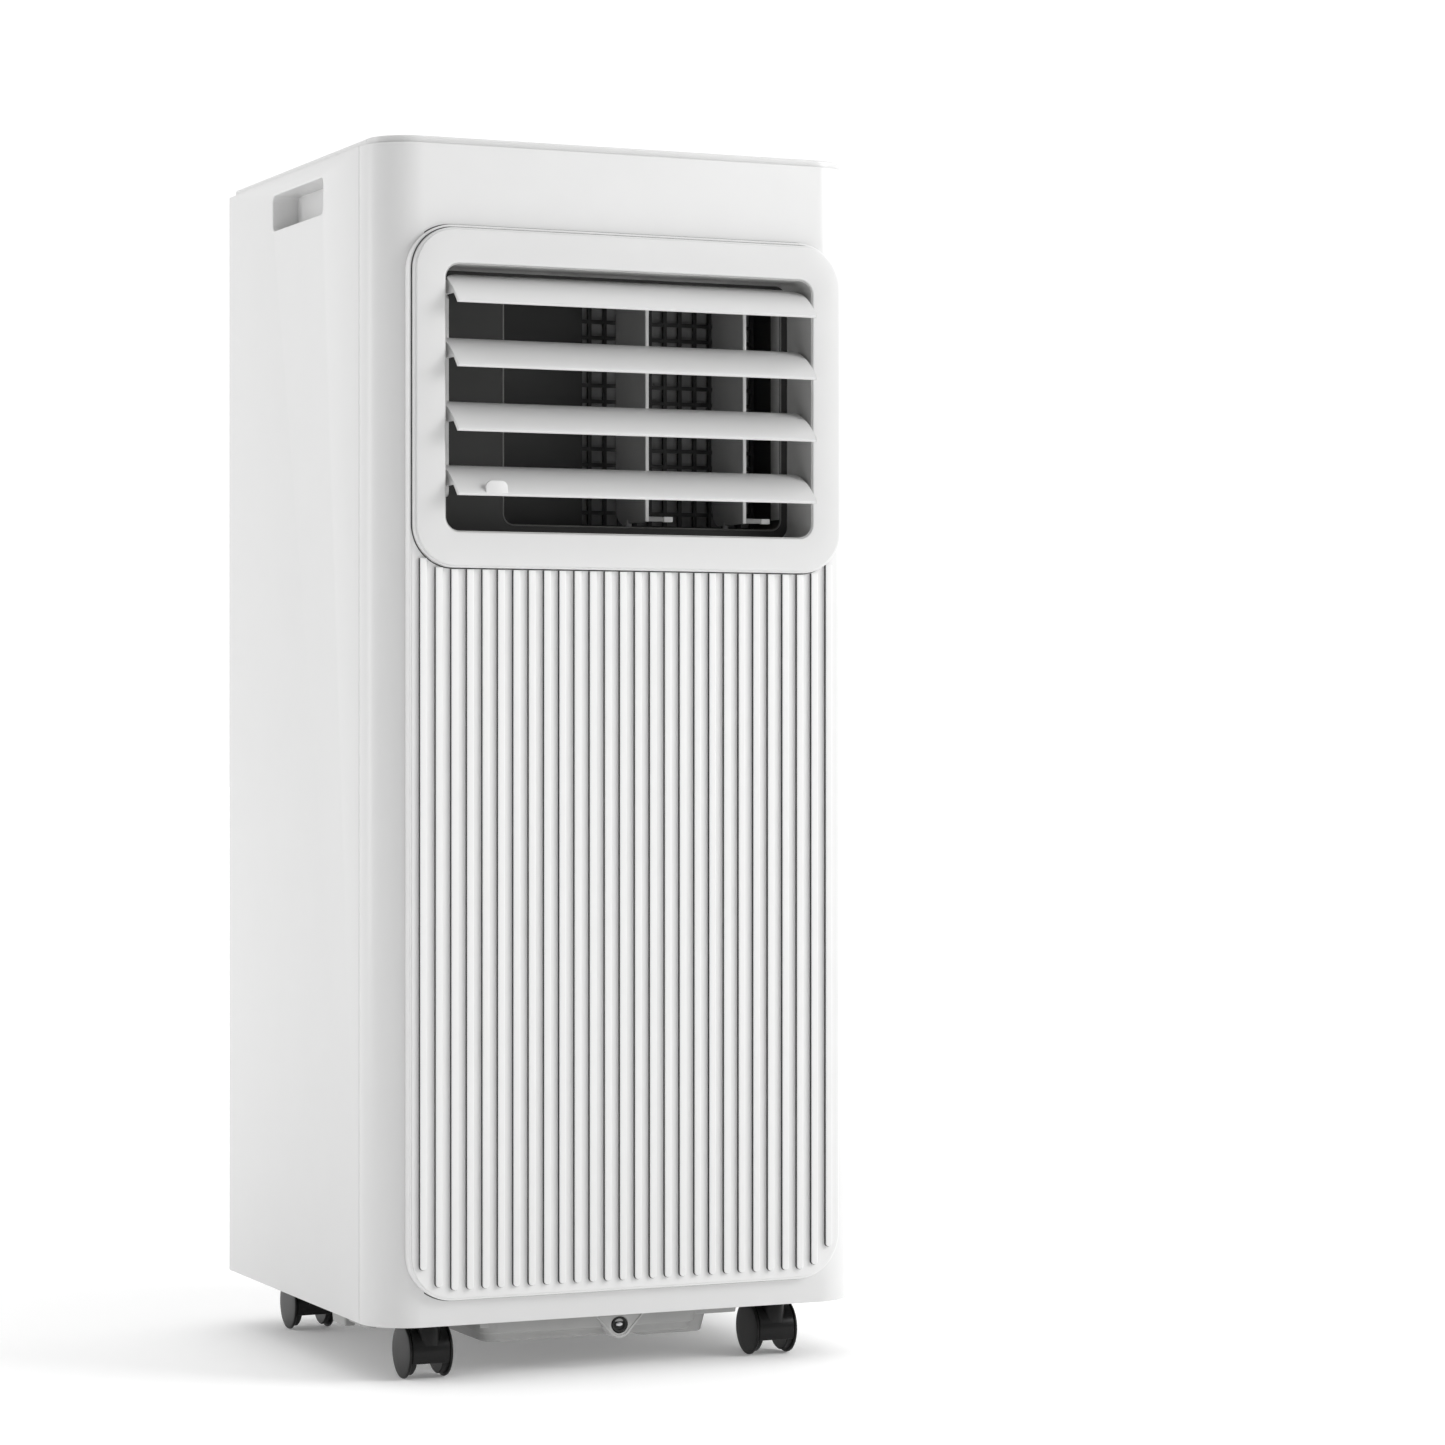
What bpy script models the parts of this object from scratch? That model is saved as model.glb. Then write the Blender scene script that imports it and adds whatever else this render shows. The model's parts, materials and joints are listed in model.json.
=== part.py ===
"""A floor-standing portable air conditioner on four twin-wheel casters.

Metres, +Z up. The front faces -Y and the origin is on the floor, at the centre of the
overall box. Depths are measured back from the flat front of the cabinet, with back(),
and heights up from the lower edge of the cabinet, with up().
"""

import math

import bmesh
import bpy
from mathutils import Matrix, Vector

# Cabinet
BODY_WIDTH = 0.300
BODY_DEPTH = 0.280
BODY_HEIGHT = 0.665
WALL = 0.0025
FRONT_RADIUS = 0.028
REAR_RADIUS = 0.008
SEAM_DEPTH = 0.0295
SIDE_RETURN = 0.020
CAP_HEIGHT = 0.0045
CAP_INSET = 0.004
GAP = 0.0003
FIT = 0.0004

# Ribbed front panel and outlet bezel
PANEL_SIDE_MARGIN = 0.0175
PANEL_BOTTOM = 0.0147
PANEL_TOP_MARGIN = 0.050
PANEL_RADIUS = 0.026
PANEL_PROUD = 0.005
RIB_PITCH = 0.00925
RIB_WIDTH = 0.0043
RIB_PROUD = 0.0022
RIB_EDGE = 0.006
OPENING_DROP = 0.0725
OPENING_HEIGHT = 0.1485
OPENING_RADIUS = 0.008
BEZEL_RIM = 0.0205
BEZEL_SIDE_RIM = 0.0185
BEZEL_RADIUS = 0.024
BEZEL_THICK = 0.0047
LINER_WALL = 0.002
RECESS_DEPTH = 0.024

# Louvers
LOUVER_COUNT = 4
LOUVER_CHORD = 0.0333
LOUVER_TILT = math.radians(31)
LOUVER_BULGE = 0.0026
LOUVER_THICK = 0.002
LOUVER_END_GAP = 0.0025
TOP_LOUVER_CORNER = 0.012
LOUVER_CORNER = 0.003
EAR_THICK = 0.003
TAB_INSET = 0.0258
LIP_PROUD = 0.022
LIP_DROP = 0.0225
LAST_LIP_RISE = 0.019
PIVOT_BACK = 0.024
PIVOT_RISE = 0.0105
PIVOT_PIN_RADIUS = 0.002
CRANK_BACK = 0.0145
CRANK_DROP = 0.006
CRANK_PIN_RADIUS = 0.0015
LINK_INSET = 0.005
LINK_THICK = 0.0025
LINK_HALF_WIDTH = 0.0025
RUNNING = 0.0004

# Outlet duct, vanes and grille
DUCT_LEFT_INSET = 0.0475
DUCT_RIGHT_INSET = 0.0045
DUCT_RISE = 0.006
DUCT_TOP_INSET = 0.0025
DUCT_END = 0.080
DUCT_WALL = 0.002
VANE_FRONT = 0.0115
VANE_REAR = 0.056
VANE_PIVOT = 0.039
VANE_THICK = 0.002
VANE_RIGHT_INSET = 0.0284
VANE_SPACING = 0.0615
VANE_TAB = 0.016
VANE_PIN_RADIUS = 0.0017
GRILLE_SETBACK = 0.020
GRILLE_BAR = 0.0028
GRILLE_PITCH = 0.0285

# Casters
WHEEL_RADIUS = 0.0155
WHEEL_THICK = 0.0056
WHEEL_CAP = 0.0019
TREAD_SINK = 0.0017
HOOD_WALL = 0.001
WHEEL_TOP_GAP = 0.0015
CASTER_HALF_WIDTH = 0.01325
CASTER_LEFT_INSET = 0.038
CASTER_RIGHT_INSET = 0.048
CASTER_FRONT = 0.030
CASTER_REAR_INSET = 0.045
TRAIL = 0.009
AXLE_RADIUS = 0.0018
STEM_RADIUS = 0.004
STEM_HEIGHT = 0.0125

# Rear face
PORT_RADIUS = 0.058
COLLAR_WALL = 0.004
COLLAR_PROUD = 0.015
COLLAR_FLANGE = 0.070
COLLAR_SEAT = 0.0175
FILTER_THICK = 0.0028
FILTER_SIDE_INSET = 0.040
FILTER_LAP = 0.006

# Inside
TRAY_DROP = 0.280
PORT_DROP = 0.080
COIL_THICK = 0.030
COIL_SETBACK = 0.055
BLOWER_RADIUS = 0.036
BLOWER_DEPTH = 0.088
LOWER_BLOWER_RADIUS = 0.055
LOWER_BLOWER_HEIGHT = 0.125
LOWER_BLOWER_INSET = 0.090
SCROLL_WALL = 0.004
LOWER_SCROLL_DEPTH = 0.080
LOWER_SCROLL_MARGIN = 0.015
LOWER_SCROLL_GAP = 0.020
SCROLL_SIDE_GAP = 0.012
SHAFT_RADIUS = 0.003
COMPRESSOR_RADIUS = 0.044
COMPRESSOR_INSET = 0.090
COMPRESSOR_DEPTH = 0.066

# Handles, cord gland and controls
HANDLE_FRONT = 0.093
HANDLE_LENGTH = 0.094
HANDLE_DROP = 0.014
HANDLE_HEIGHT = 0.021
HANDLE_DEPTH = 0.016
HANDLE_RADIUS = 0.004
HANDLE_WALL = 0.002
GLAND_RADIUS = 0.008
GLAND_FLANGE = 0.011
GLAND_BORE = 0.004
CONTROL_HALF = 0.085
CONTROL_FRONT = 0.045
CONTROL_DEPTH = 0.070
BUTTON_SIZE = (0.017, 0.011)
BUTTON_PITCH = 0.024
BUTTON_ROW = 0.020
BUTTON_NAMES = ("power", "mode", "fan", "timer", "temperature_down", "temperature_up")
DISPLAY_SIZE = (0.052, 0.018)
DISPLAY_ROW = 0.048

# Underside
DRAIN_DEPTH = 0.009
DRAIN_DROP = 0.0068
DRAIN_RADIUS = 0.0048
TUB_DROP = 0.0115
STEP_DROP = 0.0045

# Places that follow from the sizes above
FLOOR_GAP = 2 * WHEEL_RADIUS + WHEEL_TOP_GAP
OVERALL_DEPTH = BODY_DEPTH + LIP_PROUD + COLLAR_PROUD
FRONT_Y = LIP_PROUD - OVERALL_DEPTH / 2
HALF = BODY_WIDTH / 2
SHELL_HEIGHT = BODY_HEIGHT - CAP_HEIGHT
PANEL_HALF = HALF - PANEL_SIDE_MARGIN
BEZEL_HALF = PANEL_HALF - 0.0015
OPENING_HALF = BEZEL_HALF - BEZEL_SIDE_RIM
OPENING_TOP = BODY_HEIGHT - OPENING_DROP
OPENING_BOTTOM = OPENING_TOP - OPENING_HEIGHT
BEZEL_BOTTOM = OPENING_BOTTOM - BEZEL_RIM
BEZEL_TOP = OPENING_TOP + BEZEL_RIM
BEZEL_FACE = PANEL_PROUD + GAP + BEZEL_THICK
LOUVER_PITCH = (OPENING_HEIGHT - LIP_DROP - LAST_LIP_RISE) / (LOUVER_COUNT - 1)
DUCT_LEFT = DUCT_LEFT_INSET - OPENING_HALF
DUCT_RIGHT = OPENING_HALF - DUCT_RIGHT_INSET
DUCT_BOTTOM = OPENING_BOTTOM + DUCT_RISE
DUCT_TOP = OPENING_TOP - DUCT_TOP_INSET
LOUVER_HALF = OPENING_HALF - LOUVER_END_GAP
LINK_X = LINK_INSET - LOUVER_HALF
TRAY_TOP = BODY_HEIGHT - TRAY_DROP
PORT_HEIGHT = TRAY_TOP - PORT_DROP
EXHAUST_HALF = PORT_RADIUS + 0.005 + SCROLL_WALL
COIL_FRONT = BODY_DEPTH - COIL_SETBACK
AXLE_Z = WHEEL_RADIUS

AXES = {"X": 0, "Y": 1, "Z": 2}
PLANES = {"X": (1, 2), "Y": (0, 2), "Z": (0, 1)}

# name: colour, roughness, metallic
FINISHES = {
    "white_plastic": ((0.84, 0.84, 0.83), 0.42, 0.0),
    "panel_plastic": ((0.86, 0.86, 0.85), 0.40, 0.0),
    "base_plastic": ((0.62, 0.61, 0.60), 0.50, 0.0),
    "duct_plastic": ((0.045, 0.045, 0.048), 0.55, 0.0),
    "caster_plastic": ((0.020, 0.020, 0.020), 0.38, 0.0),
    "wheel_tread": ((0.015, 0.015, 0.015), 0.60, 0.0),
    "rubber": ((0.012, 0.012, 0.012), 0.80, 0.0),
    "display_glass": ((0.010, 0.010, 0.012), 0.08, 0.0),
    "button_plastic": ((0.70, 0.70, 0.69), 0.45, 0.0),
    "filter_plastic": ((0.80, 0.80, 0.79), 0.50, 0.0),
    "steel": ((0.55, 0.55, 0.56), 0.35, 1.0),
    "black_steel": ((0.025, 0.025, 0.027), 0.45, 0.3),
    "aluminium_fin": ((0.78, 0.79, 0.80), 0.35, 1.0),
    "copper": ((0.80, 0.42, 0.28), 0.30, 1.0),
    "foam": ((0.88, 0.88, 0.87), 0.90, 0.0),
    "fan_plastic": ((0.60, 0.62, 0.64), 0.50, 0.0),
    "box_steel": ((0.62, 0.64, 0.65), 0.45, 0.8),
}


def back(depth):
    """The Y of a point this far behind the flat front of the cabinet."""
    return FRONT_Y + depth


def up(height):
    """The Z of a point this far above the lower edge of the cabinet."""
    return FLOOR_GAP + height


# Outlines and solids


def finish(name):
    found = bpy.data.materials.get(name)
    if found:
        return found
    colour, roughness, metallic = FINISHES[name]
    made = bpy.data.materials.new(name)
    made.use_nodes = True
    shader = made.node_tree.nodes["Principled BSDF"]
    shader.inputs["Base Color"].default_value = (*colour, 1)
    shader.inputs["Roughness"].default_value = roughness
    shader.inputs["Metallic"].default_value = metallic
    made.diffuse_color = (*colour, 1)
    return made


def from_bmesh(name, shape, finish_name):
    bmesh.ops.recalc_face_normals(shape, faces=shape.faces)
    mesh = bpy.data.meshes.new(name)
    shape.to_mesh(mesh)
    shape.free()
    mesh.materials.append(finish(finish_name))
    obj = bpy.data.objects.new(name, mesh)
    bpy.context.scene.collection.objects.link(obj)
    return obj


def arc(centre, radius, start, end, steps):
    """Points on an arc, from one angle to the other in degrees."""
    angles = [math.radians(start + (end - start) * i / steps) for i in range(steps + 1)]
    return [(centre[0] + radius * math.cos(a), centre[1] + radius * math.sin(a)) for a in angles]


def rounded(low, high, radii, steps=4):
    """A rectangle whose corners, from the low one counter-clockwise, have these radii."""
    if not isinstance(radii, tuple):
        radii = (radii,) * 4
    corners = ((low[0], low[1]), (high[0], low[1]), (high[0], high[1]), (low[0], high[1]))
    inward = ((1, 1), (-1, 1), (-1, -1), (1, -1))
    points = []
    for i, (corner, side, radius) in enumerate(zip(corners, inward, radii)):
        if radius == 0:
            points.append(corner)
            continue
        centre = (corner[0] + side[0] * radius, corner[1] + side[1] * radius)
        points += arc(centre, radius, 180 + 90 * i, 270 + 90 * i, steps)
    return points


def prism(name, outline, axis, start, end, finish_name):
    """An outline in the plane across the axis, extruded along it."""
    shape = bmesh.new()
    rings = []
    for along in (start, end):
        ring = []
        for point in outline:
            place = [0, 0, 0]
            place[AXES[axis]] = along
            place[PLANES[axis][0]] = point[0]
            place[PLANES[axis][1]] = point[1]
            ring.append(shape.verts.new(place))
        rings.append(ring)
        shape.faces.new(ring)
    count = len(outline)
    for i in range(count):
        j = (i + 1) % count
        shape.faces.new((rings[0][i], rings[0][j], rings[1][j], rings[1][i]))
    return from_bmesh(name, shape, finish_name)


def box(name, low, high, finish_name):
    outline = [(low[0], low[1]), (high[0], low[1]), (high[0], high[1]), (low[0], high[1])]
    return prism(name, outline, "Z", low[2], high[2], finish_name)


def lathe(name, profile, axis, centre, finish_name, steps=20):
    """A closed profile of (radius, place along the axis) points, turned about the axis."""
    shape = bmesh.new()
    across = PLANES[axis]
    rings = []
    for radius, along in profile:
        ring = []
        for i in range(steps if radius > 0 else 1):
            angle = 2 * math.pi * i / steps
            place = list(centre)
            place[AXES[axis]] += along
            place[across[0]] += radius * math.cos(angle)
            place[across[1]] += radius * math.sin(angle)
            ring.append(shape.verts.new(place))
        rings.append(ring)
    for first, second in zip(rings, rings[1:] + rings[:1]):
        for i in range(steps):
            j = (i + 1) % steps
            corners = [first[i % len(first)], first[j % len(first)]]
            corners += [second[j % len(second)], second[i % len(second)]]
            corners = list(dict.fromkeys(corners))
            if len(corners) > 2:
                shape.faces.new(corners)
    made = from_bmesh(name, shape, finish_name)
    smooth(made)
    return made


def rod(name, axis, centre, radius, start, end, finish_name, steps=20):
    """A plain cylinder along the axis, from one place along it to the other."""
    profile = [(0, start), (radius, start), (radius, end), (0, end)]
    return lathe(name, profile, axis, centre, finish_name, steps)


def lattice(name, xs, zs, open_cell, start, end, finish_name):
    """A plate across Y, made of the grid cells that open_cell leaves solid."""
    shape = bmesh.new()
    corners = {}

    def corner(i, j, y):
        key = (i, j, y)
        if key not in corners:
            corners[key] = shape.verts.new((xs[i], y, zs[j]))
        return corners[key]

    def solid(i, j):
        inside = 0 <= i < len(xs) - 1 and 0 <= j < len(zs) - 1
        return inside and not open_cell(i, j)

    sides = (((0, -1), (0, 0), (1, 0)), ((1, 0), (1, 0), (1, 1)))
    sides += (((0, 1), (1, 1), (0, 1)), ((-1, 0), (0, 1), (0, 0)))
    for i in range(len(xs) - 1):
        for j in range(len(zs) - 1):
            if not solid(i, j):
                continue
            ring = ((i, j), (i + 1, j), (i + 1, j + 1), (i, j + 1))
            for y in (start, end):
                shape.faces.new([corner(a, b, y) for a, b in ring])
            for step, a, b in sides:
                if solid(i + step[0], j + step[1]):
                    continue
                first = (i + a[0], j + a[1])
                second = (i + b[0], j + b[1])
                wall = [corner(*first, start), corner(*second, start)]
                wall += [corner(*second, end), corner(*first, end)]
                shape.faces.new(wall)
    return from_bmesh(name, shape, finish_name)


def combine(target, tools, operation):
    """Applies one Boolean after another to the target, and removes the tools."""
    for tool in tools:
        modifier = target.modifiers.new(tool.name, "BOOLEAN")
        modifier.operation = operation
        modifier.solver = "EXACT"
        modifier.object = tool
    bpy.context.view_layer.update()
    graph = bpy.context.evaluated_depsgraph_get()
    mesh = bpy.data.meshes.new_from_object(target.evaluated_get(graph))
    target.modifiers.clear()
    target.data = mesh
    for tool in tools:
        bpy.data.objects.remove(tool)


def cut(target, *tools):
    combine(target, tools, "DIFFERENCE")


def join(target, *tools):
    combine(target, tools, "UNION")


def hang_on(obj, point):
    """Puts the object's origin on its joint's axis and leaves its shape where it is."""
    obj.data.transform(Matrix.Translation(-Vector(point)))
    obj.location = point


def smooth(obj, degrees=35):
    obj.data.shade_smooth()
    obj.data.set_sharp_from_angle(angle=math.radians(degrees))


# Cabinet


def make_front_shell():
    outer = [(-HALF, back(SEAM_DEPTH))]
    outer += arc((FRONT_RADIUS - HALF, back(FRONT_RADIUS)), FRONT_RADIUS, 180, 270, 8)
    outer += arc((HALF - FRONT_RADIUS, back(FRONT_RADIUS)), FRONT_RADIUS, 270, 360, 8)
    outer.append((HALF, back(SEAM_DEPTH)))
    inner_radius = FRONT_RADIUS - WALL
    inner = [(HALF - WALL, back(SEAM_DEPTH))]
    inner += arc((HALF - FRONT_RADIUS, back(FRONT_RADIUS)), inner_radius, 360, 270, 8)
    inner += arc((FRONT_RADIUS - HALF, back(FRONT_RADIUS)), inner_radius, 270, 180, 8)
    inner.append((WALL - HALF, back(SEAM_DEPTH)))
    shell = prism("front_shell", outer + inner, "Z", up(0), up(SHELL_HEIGHT), "white_plastic")
    cut(shell, outlet_cutter(-0.001, WALL + 0.001))
    smooth(shell)


def outlet_cutter(start, end):
    """The hole for the bezel's liner, with its clearance."""
    room = LINER_WALL + FIT
    low = (-OPENING_HALF - room, up(OPENING_BOTTOM - room))
    high = (OPENING_HALF + room, up(OPENING_TOP + room))
    outline = rounded(low, high, OPENING_RADIUS + room)
    return prism("outlet_cutter", outline, "Y", back(start), back(end), "white_plastic")


def corner_height(x, half, radius):
    """How far a rounded corner lifts the lower edge of an outline at this X."""
    over = min(max(abs(x) - (half - radius), 0), radius)
    return radius - math.sqrt(radius**2 - over**2)


def rib_centres():
    count = int((2 * (PANEL_HALF - RIB_EDGE) - RIB_WIDTH) / RIB_PITCH) + 1
    first = -(count - 1) * RIB_PITCH / 2
    return [first + i * RIB_PITCH for i in range(count)]


def make_ribbed_panel():
    low = (-PANEL_HALF, up(PANEL_BOTTOM))
    high = (PANEL_HALF, up(BODY_HEIGHT - PANEL_TOP_MARGIN))
    outline = rounded(low, high, PANEL_RADIUS, 6)
    lip = 0.004
    panel = prism("ribbed_panel", outline, "Y", back(-PANEL_PROUD), back(lip), "panel_plastic")
    radius = FRONT_RADIUS + GAP
    envelope = rounded((-HALF - GAP, back(-GAP)), (HALF + GAP, back(0.1)), (radius, radius, 0, 0), 8)
    cut(panel, prism("envelope", envelope, "Z", up(-0.01), up(BODY_HEIGHT + 0.01), "panel_plastic"))
    ribs = [make_rib(x) for x in rib_centres()]
    join(panel, *ribs)
    cut(panel, outlet_cutter(-PANEL_PROUD - 0.001, 0.001))
    smooth(panel)


def make_rib(x):
    radius = RIB_WIDTH / 2
    edge = PANEL_RADIUS - RIB_EDGE
    foot = PANEL_BOTTOM + RIB_EDGE + corner_height(x, PANEL_HALF - RIB_EDGE, edge)
    inner = max(abs(x) - radius, 0)
    head = BEZEL_BOTTOM - 0.0008 + corner_height(inner, BEZEL_HALF, BEZEL_RADIUS)
    outline = arc((x, up(foot) + radius), radius, 180, 360, 4)
    outline += [(x + radius, up(head)), (x - radius, up(head))]
    proud = PANEL_PROUD + RIB_PROUD
    return prism("rib", outline, "Y", back(-proud), back(0.0005 - PANEL_PROUD), "panel_plastic")


def make_outlet_bezel():
    low = (-BEZEL_HALF, up(BEZEL_BOTTOM))
    high = (BEZEL_HALF, up(BEZEL_TOP))
    face = back(-BEZEL_FACE)
    plate = rounded(low, high, BEZEL_RADIUS, 6)
    bezel = prism("outlet_bezel", plate, "Y", face, back(-PANEL_PROUD - GAP), "white_plastic")
    join(bezel, opening_prism("liner", LINER_WALL, -BEZEL_FACE + 0.001, RECESS_DEPTH))
    cut(bezel, opening_prism("opening", 0, -BEZEL_FACE - 0.001, RECESS_DEPTH + 0.001))
    holes = []
    for number in range(LOUVER_COUNT):
        centre = (0, *louver_pivot(number))
        radius = PIVOT_PIN_RADIUS + RUNNING
        reach = OPENING_HALF + LINER_WALL + 0.0002
        holes.append(rod("pin_hole", "X", centre, radius, -reach, reach, "white_plastic", 16))
    cut(bezel, *holes)
    smooth(bezel)


def opening_prism(name, grow, start, end):
    low = (-OPENING_HALF - grow, up(OPENING_BOTTOM - grow))
    high = (OPENING_HALF + grow, up(OPENING_TOP + grow))
    outline = rounded(low, high, OPENING_RADIUS + grow)
    return prism(name, outline, "Y", back(start), back(end), "white_plastic")


def make_side_panel(name, side):
    """The side wall with its rear return and its handle pocket. side is -1 or 1."""
    inner_radius = REAR_RADIUS - WALL
    centre = (HALF - REAR_RADIUS, back(BODY_DEPTH - REAR_RADIUS))
    outline = [(HALF, back(SEAM_DEPTH + GAP))]
    outline += arc(centre, REAR_RADIUS, 0, 90, 4)
    outline.append((HALF - SIDE_RETURN, back(BODY_DEPTH)))
    outline.append((HALF - SIDE_RETURN, back(BODY_DEPTH - WALL)))
    outline += arc(centre, inner_radius, 90, 0, 4)
    outline.append((HALF - WALL, back(SEAM_DEPTH + GAP)))
    outline = [(side * x, y) for x, y in outline]
    panel = prism(name, outline, "Z", up(0), up(SHELL_HEIGHT), "white_plastic")
    pocket_low = (back(HANDLE_FRONT), up(BODY_HEIGHT - HANDLE_DROP - HANDLE_HEIGHT))
    pocket_high = (back(HANDLE_FRONT + HANDLE_LENGTH), up(BODY_HEIGHT - HANDLE_DROP))
    hole = rounded(pocket_low, pocket_high, HANDLE_RADIUS)
    cup_low = [value - HANDLE_WALL for value in pocket_low]
    cup_high = [value + HANDLE_WALL for value in pocket_high]
    cup = rounded(cup_low, cup_high, HANDLE_RADIUS + HANDLE_WALL)
    floor_x = HALF - HANDLE_DEPTH
    ends = sorted((side * (floor_x - HANDLE_WALL), side * (HALF - 0.001)))
    join(panel, prism("cup", cup, "X", *ends, "white_plastic"))
    ends = sorted((side * floor_x, side * (HALF + 0.001)))
    cut(panel, prism("pocket", hole, "X", *ends, "white_plastic"))
    smooth(panel)


def window(bottom, top, grow=0.0):
    """The outline of a filter's window in the rear panel."""
    half = HALF - FILTER_SIDE_INSET + grow
    return rounded((-half, up(bottom - grow)), (half, up(top + grow)), 0.004)


def filter_spans():
    """Lower and upper height of each filter window."""
    lower = (0.030, PORT_HEIGHT - COLLAR_FLANGE - 0.014)
    upper = (TRAY_TOP + 0.018, SHELL_HEIGHT - 0.030)
    return {"lower_filter": lower, "upper_filter": upper}


def make_rear_panel():
    half = HALF - SIDE_RETURN - GAP
    low = (-half, back(BODY_DEPTH - WALL), up(0))
    high = (half, back(BODY_DEPTH), up(SHELL_HEIGHT))
    panel = box("rear_panel", low, high, "white_plastic")
    tools = []
    for bottom, top in filter_spans().values():
        ends = (back(BODY_DEPTH - 0.01), back(BODY_DEPTH + 0.01))
        tools.append(prism("window", window(bottom, top), "Y", *ends, "white_plastic"))
    centre = (0, back(BODY_DEPTH), up(PORT_HEIGHT))
    radius = PORT_RADIUS + COLLAR_WALL + FIT
    tools.append(rod("port", "Y", centre, radius, -0.01, 0.01, "white_plastic", 32))
    tools.append(rod("gland_hole", "Y", gland_centre(), GLAND_RADIUS + FIT, -0.01, 0.01, "white_plastic"))
    cut(panel, *tools)


def gland_centre():
    return (HALF - 0.040, back(BODY_DEPTH), up(PORT_HEIGHT - 0.045))


def make_cord_gland():
    profile = [(GLAND_BORE, -0.008), (GLAND_RADIUS, -0.008), (GLAND_RADIUS, GAP)]
    profile += [(GLAND_FLANGE, GAP), (GLAND_FLANGE, 0.0025), (GLAND_BORE, 0.004)]
    lathe("cord_gland", profile, "Y", gland_centre(), "rubber")


def make_filter(name, bottom, top):
    """A slatted cover over a shallow frame that plugs into its window."""
    half = HALF - FILTER_SIDE_INSET + FILTER_LAP
    low, high = up(bottom - FILTER_LAP), up(top + FILTER_LAP)
    border = FILTER_LAP + 0.006
    xs = [-half, border - half, -0.003, 0.003, half - border, half]
    slats = max(int((top - bottom) / 0.017), 2)
    pitch = (high - low - 2 * border + 0.004) / slats
    zs = [low]
    for i in range(slats):
        foot = low + border + i * pitch
        zs += [foot, foot + pitch - 0.004]
    zs.append(high)
    face = (back(BODY_DEPTH + GAP), back(BODY_DEPTH + GAP + FILTER_THICK))
    cover = lattice(name, xs, zs, lambda i, j: i % 2 == 1 and j % 2 == 1, *face, "filter_plastic")
    depth = (back(BODY_DEPTH - 0.006), back(BODY_DEPTH + GAP + 0.001))
    frame = prism("frame", window(bottom, top, -FIT), "Y", *depth, "filter_plastic")
    hollow = (depth[0] - 0.01, depth[1] + 0.01)
    cut(frame, prism("hollow", window(bottom, top, -FIT - 0.003), "Y", *hollow, "filter_plastic"))
    join(cover, frame)


def make_exhaust_collar():
    radius = PORT_RADIUS + COLLAR_WALL
    inner = GAP - COLLAR_SEAT
    profile = [(PORT_RADIUS, inner), (radius, inner), (radius, GAP), (COLLAR_FLANGE, GAP)]
    profile += [(COLLAR_FLANGE, 0.003), (radius, 0.003)]
    profile += [(radius, COLLAR_PROUD), (PORT_RADIUS, COLLAR_PROUD)]
    centre = (0, back(BODY_DEPTH), up(PORT_HEIGHT))
    lathe("exhaust_collar", profile, "Y", centre, "duct_plastic", 32)


# Top


def make_top_cover():
    low = (CAP_INSET - HALF, back(CAP_INSET))
    high = (HALF - CAP_INSET, back(BODY_DEPTH - CAP_INSET))
    front = FRONT_RADIUS - CAP_INSET
    rear = REAR_RADIUS - CAP_INSET
    outline = rounded(low, high, (front, front, rear, rear), 6)
    cover = prism("top_cover", outline, "Z", up(SHELL_HEIGHT + GAP), up(BODY_HEIGHT), "white_plastic")
    rim = WALL + FIT
    low = (rim - HALF, back(rim))
    high = (HALF - rim, back(BODY_DEPTH - rim))
    radii = (FRONT_RADIUS - rim, FRONT_RADIUS - rim, REAR_RADIUS - rim, REAR_RADIUS - rim)
    skirt = prism("skirt", rounded(low, high, radii, 6), "Z", up(SHELL_HEIGHT - 0.004),
                  up(SHELL_HEIGHT + 0.001), "white_plastic")
    wall = 0.002
    low = (low[0] + wall, low[1] + wall)
    high = (high[0] - wall, high[1] - wall)
    radii = tuple(radius - wall for radius in radii)
    inside = prism("inside", rounded(low, high, radii, 6), "Z", up(SHELL_HEIGHT - 0.01),
                   up(SHELL_HEIGHT + 0.01), "white_plastic")
    cut(skirt, inside)
    join(cover, skirt)
    cut(cover, control_prism("control_hole", 0, SHELL_HEIGHT - 0.01, BODY_HEIGHT + 0.01))
    smooth(cover)


def control_prism(name, grow, bottom, top):
    low = (-CONTROL_HALF - grow, back(CONTROL_FRONT - grow))
    high = (CONTROL_HALF + grow, back(CONTROL_FRONT + CONTROL_DEPTH + grow))
    return prism(name, rounded(low, high, 0.006), "Z", up(bottom), up(top), "white_plastic")


def button_centre(number):
    x = (number - (len(BUTTON_NAMES) - 1) / 2) * BUTTON_PITCH
    return (x, back(CONTROL_FRONT + BUTTON_ROW))


def centred(centre, size, radius, steps=2):
    low = (centre[0] - size[0] / 2, centre[1] - size[1] / 2)
    high = (centre[0] + size[0] / 2, centre[1] + size[1] / 2)
    return rounded(low, high, radius, steps)


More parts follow.
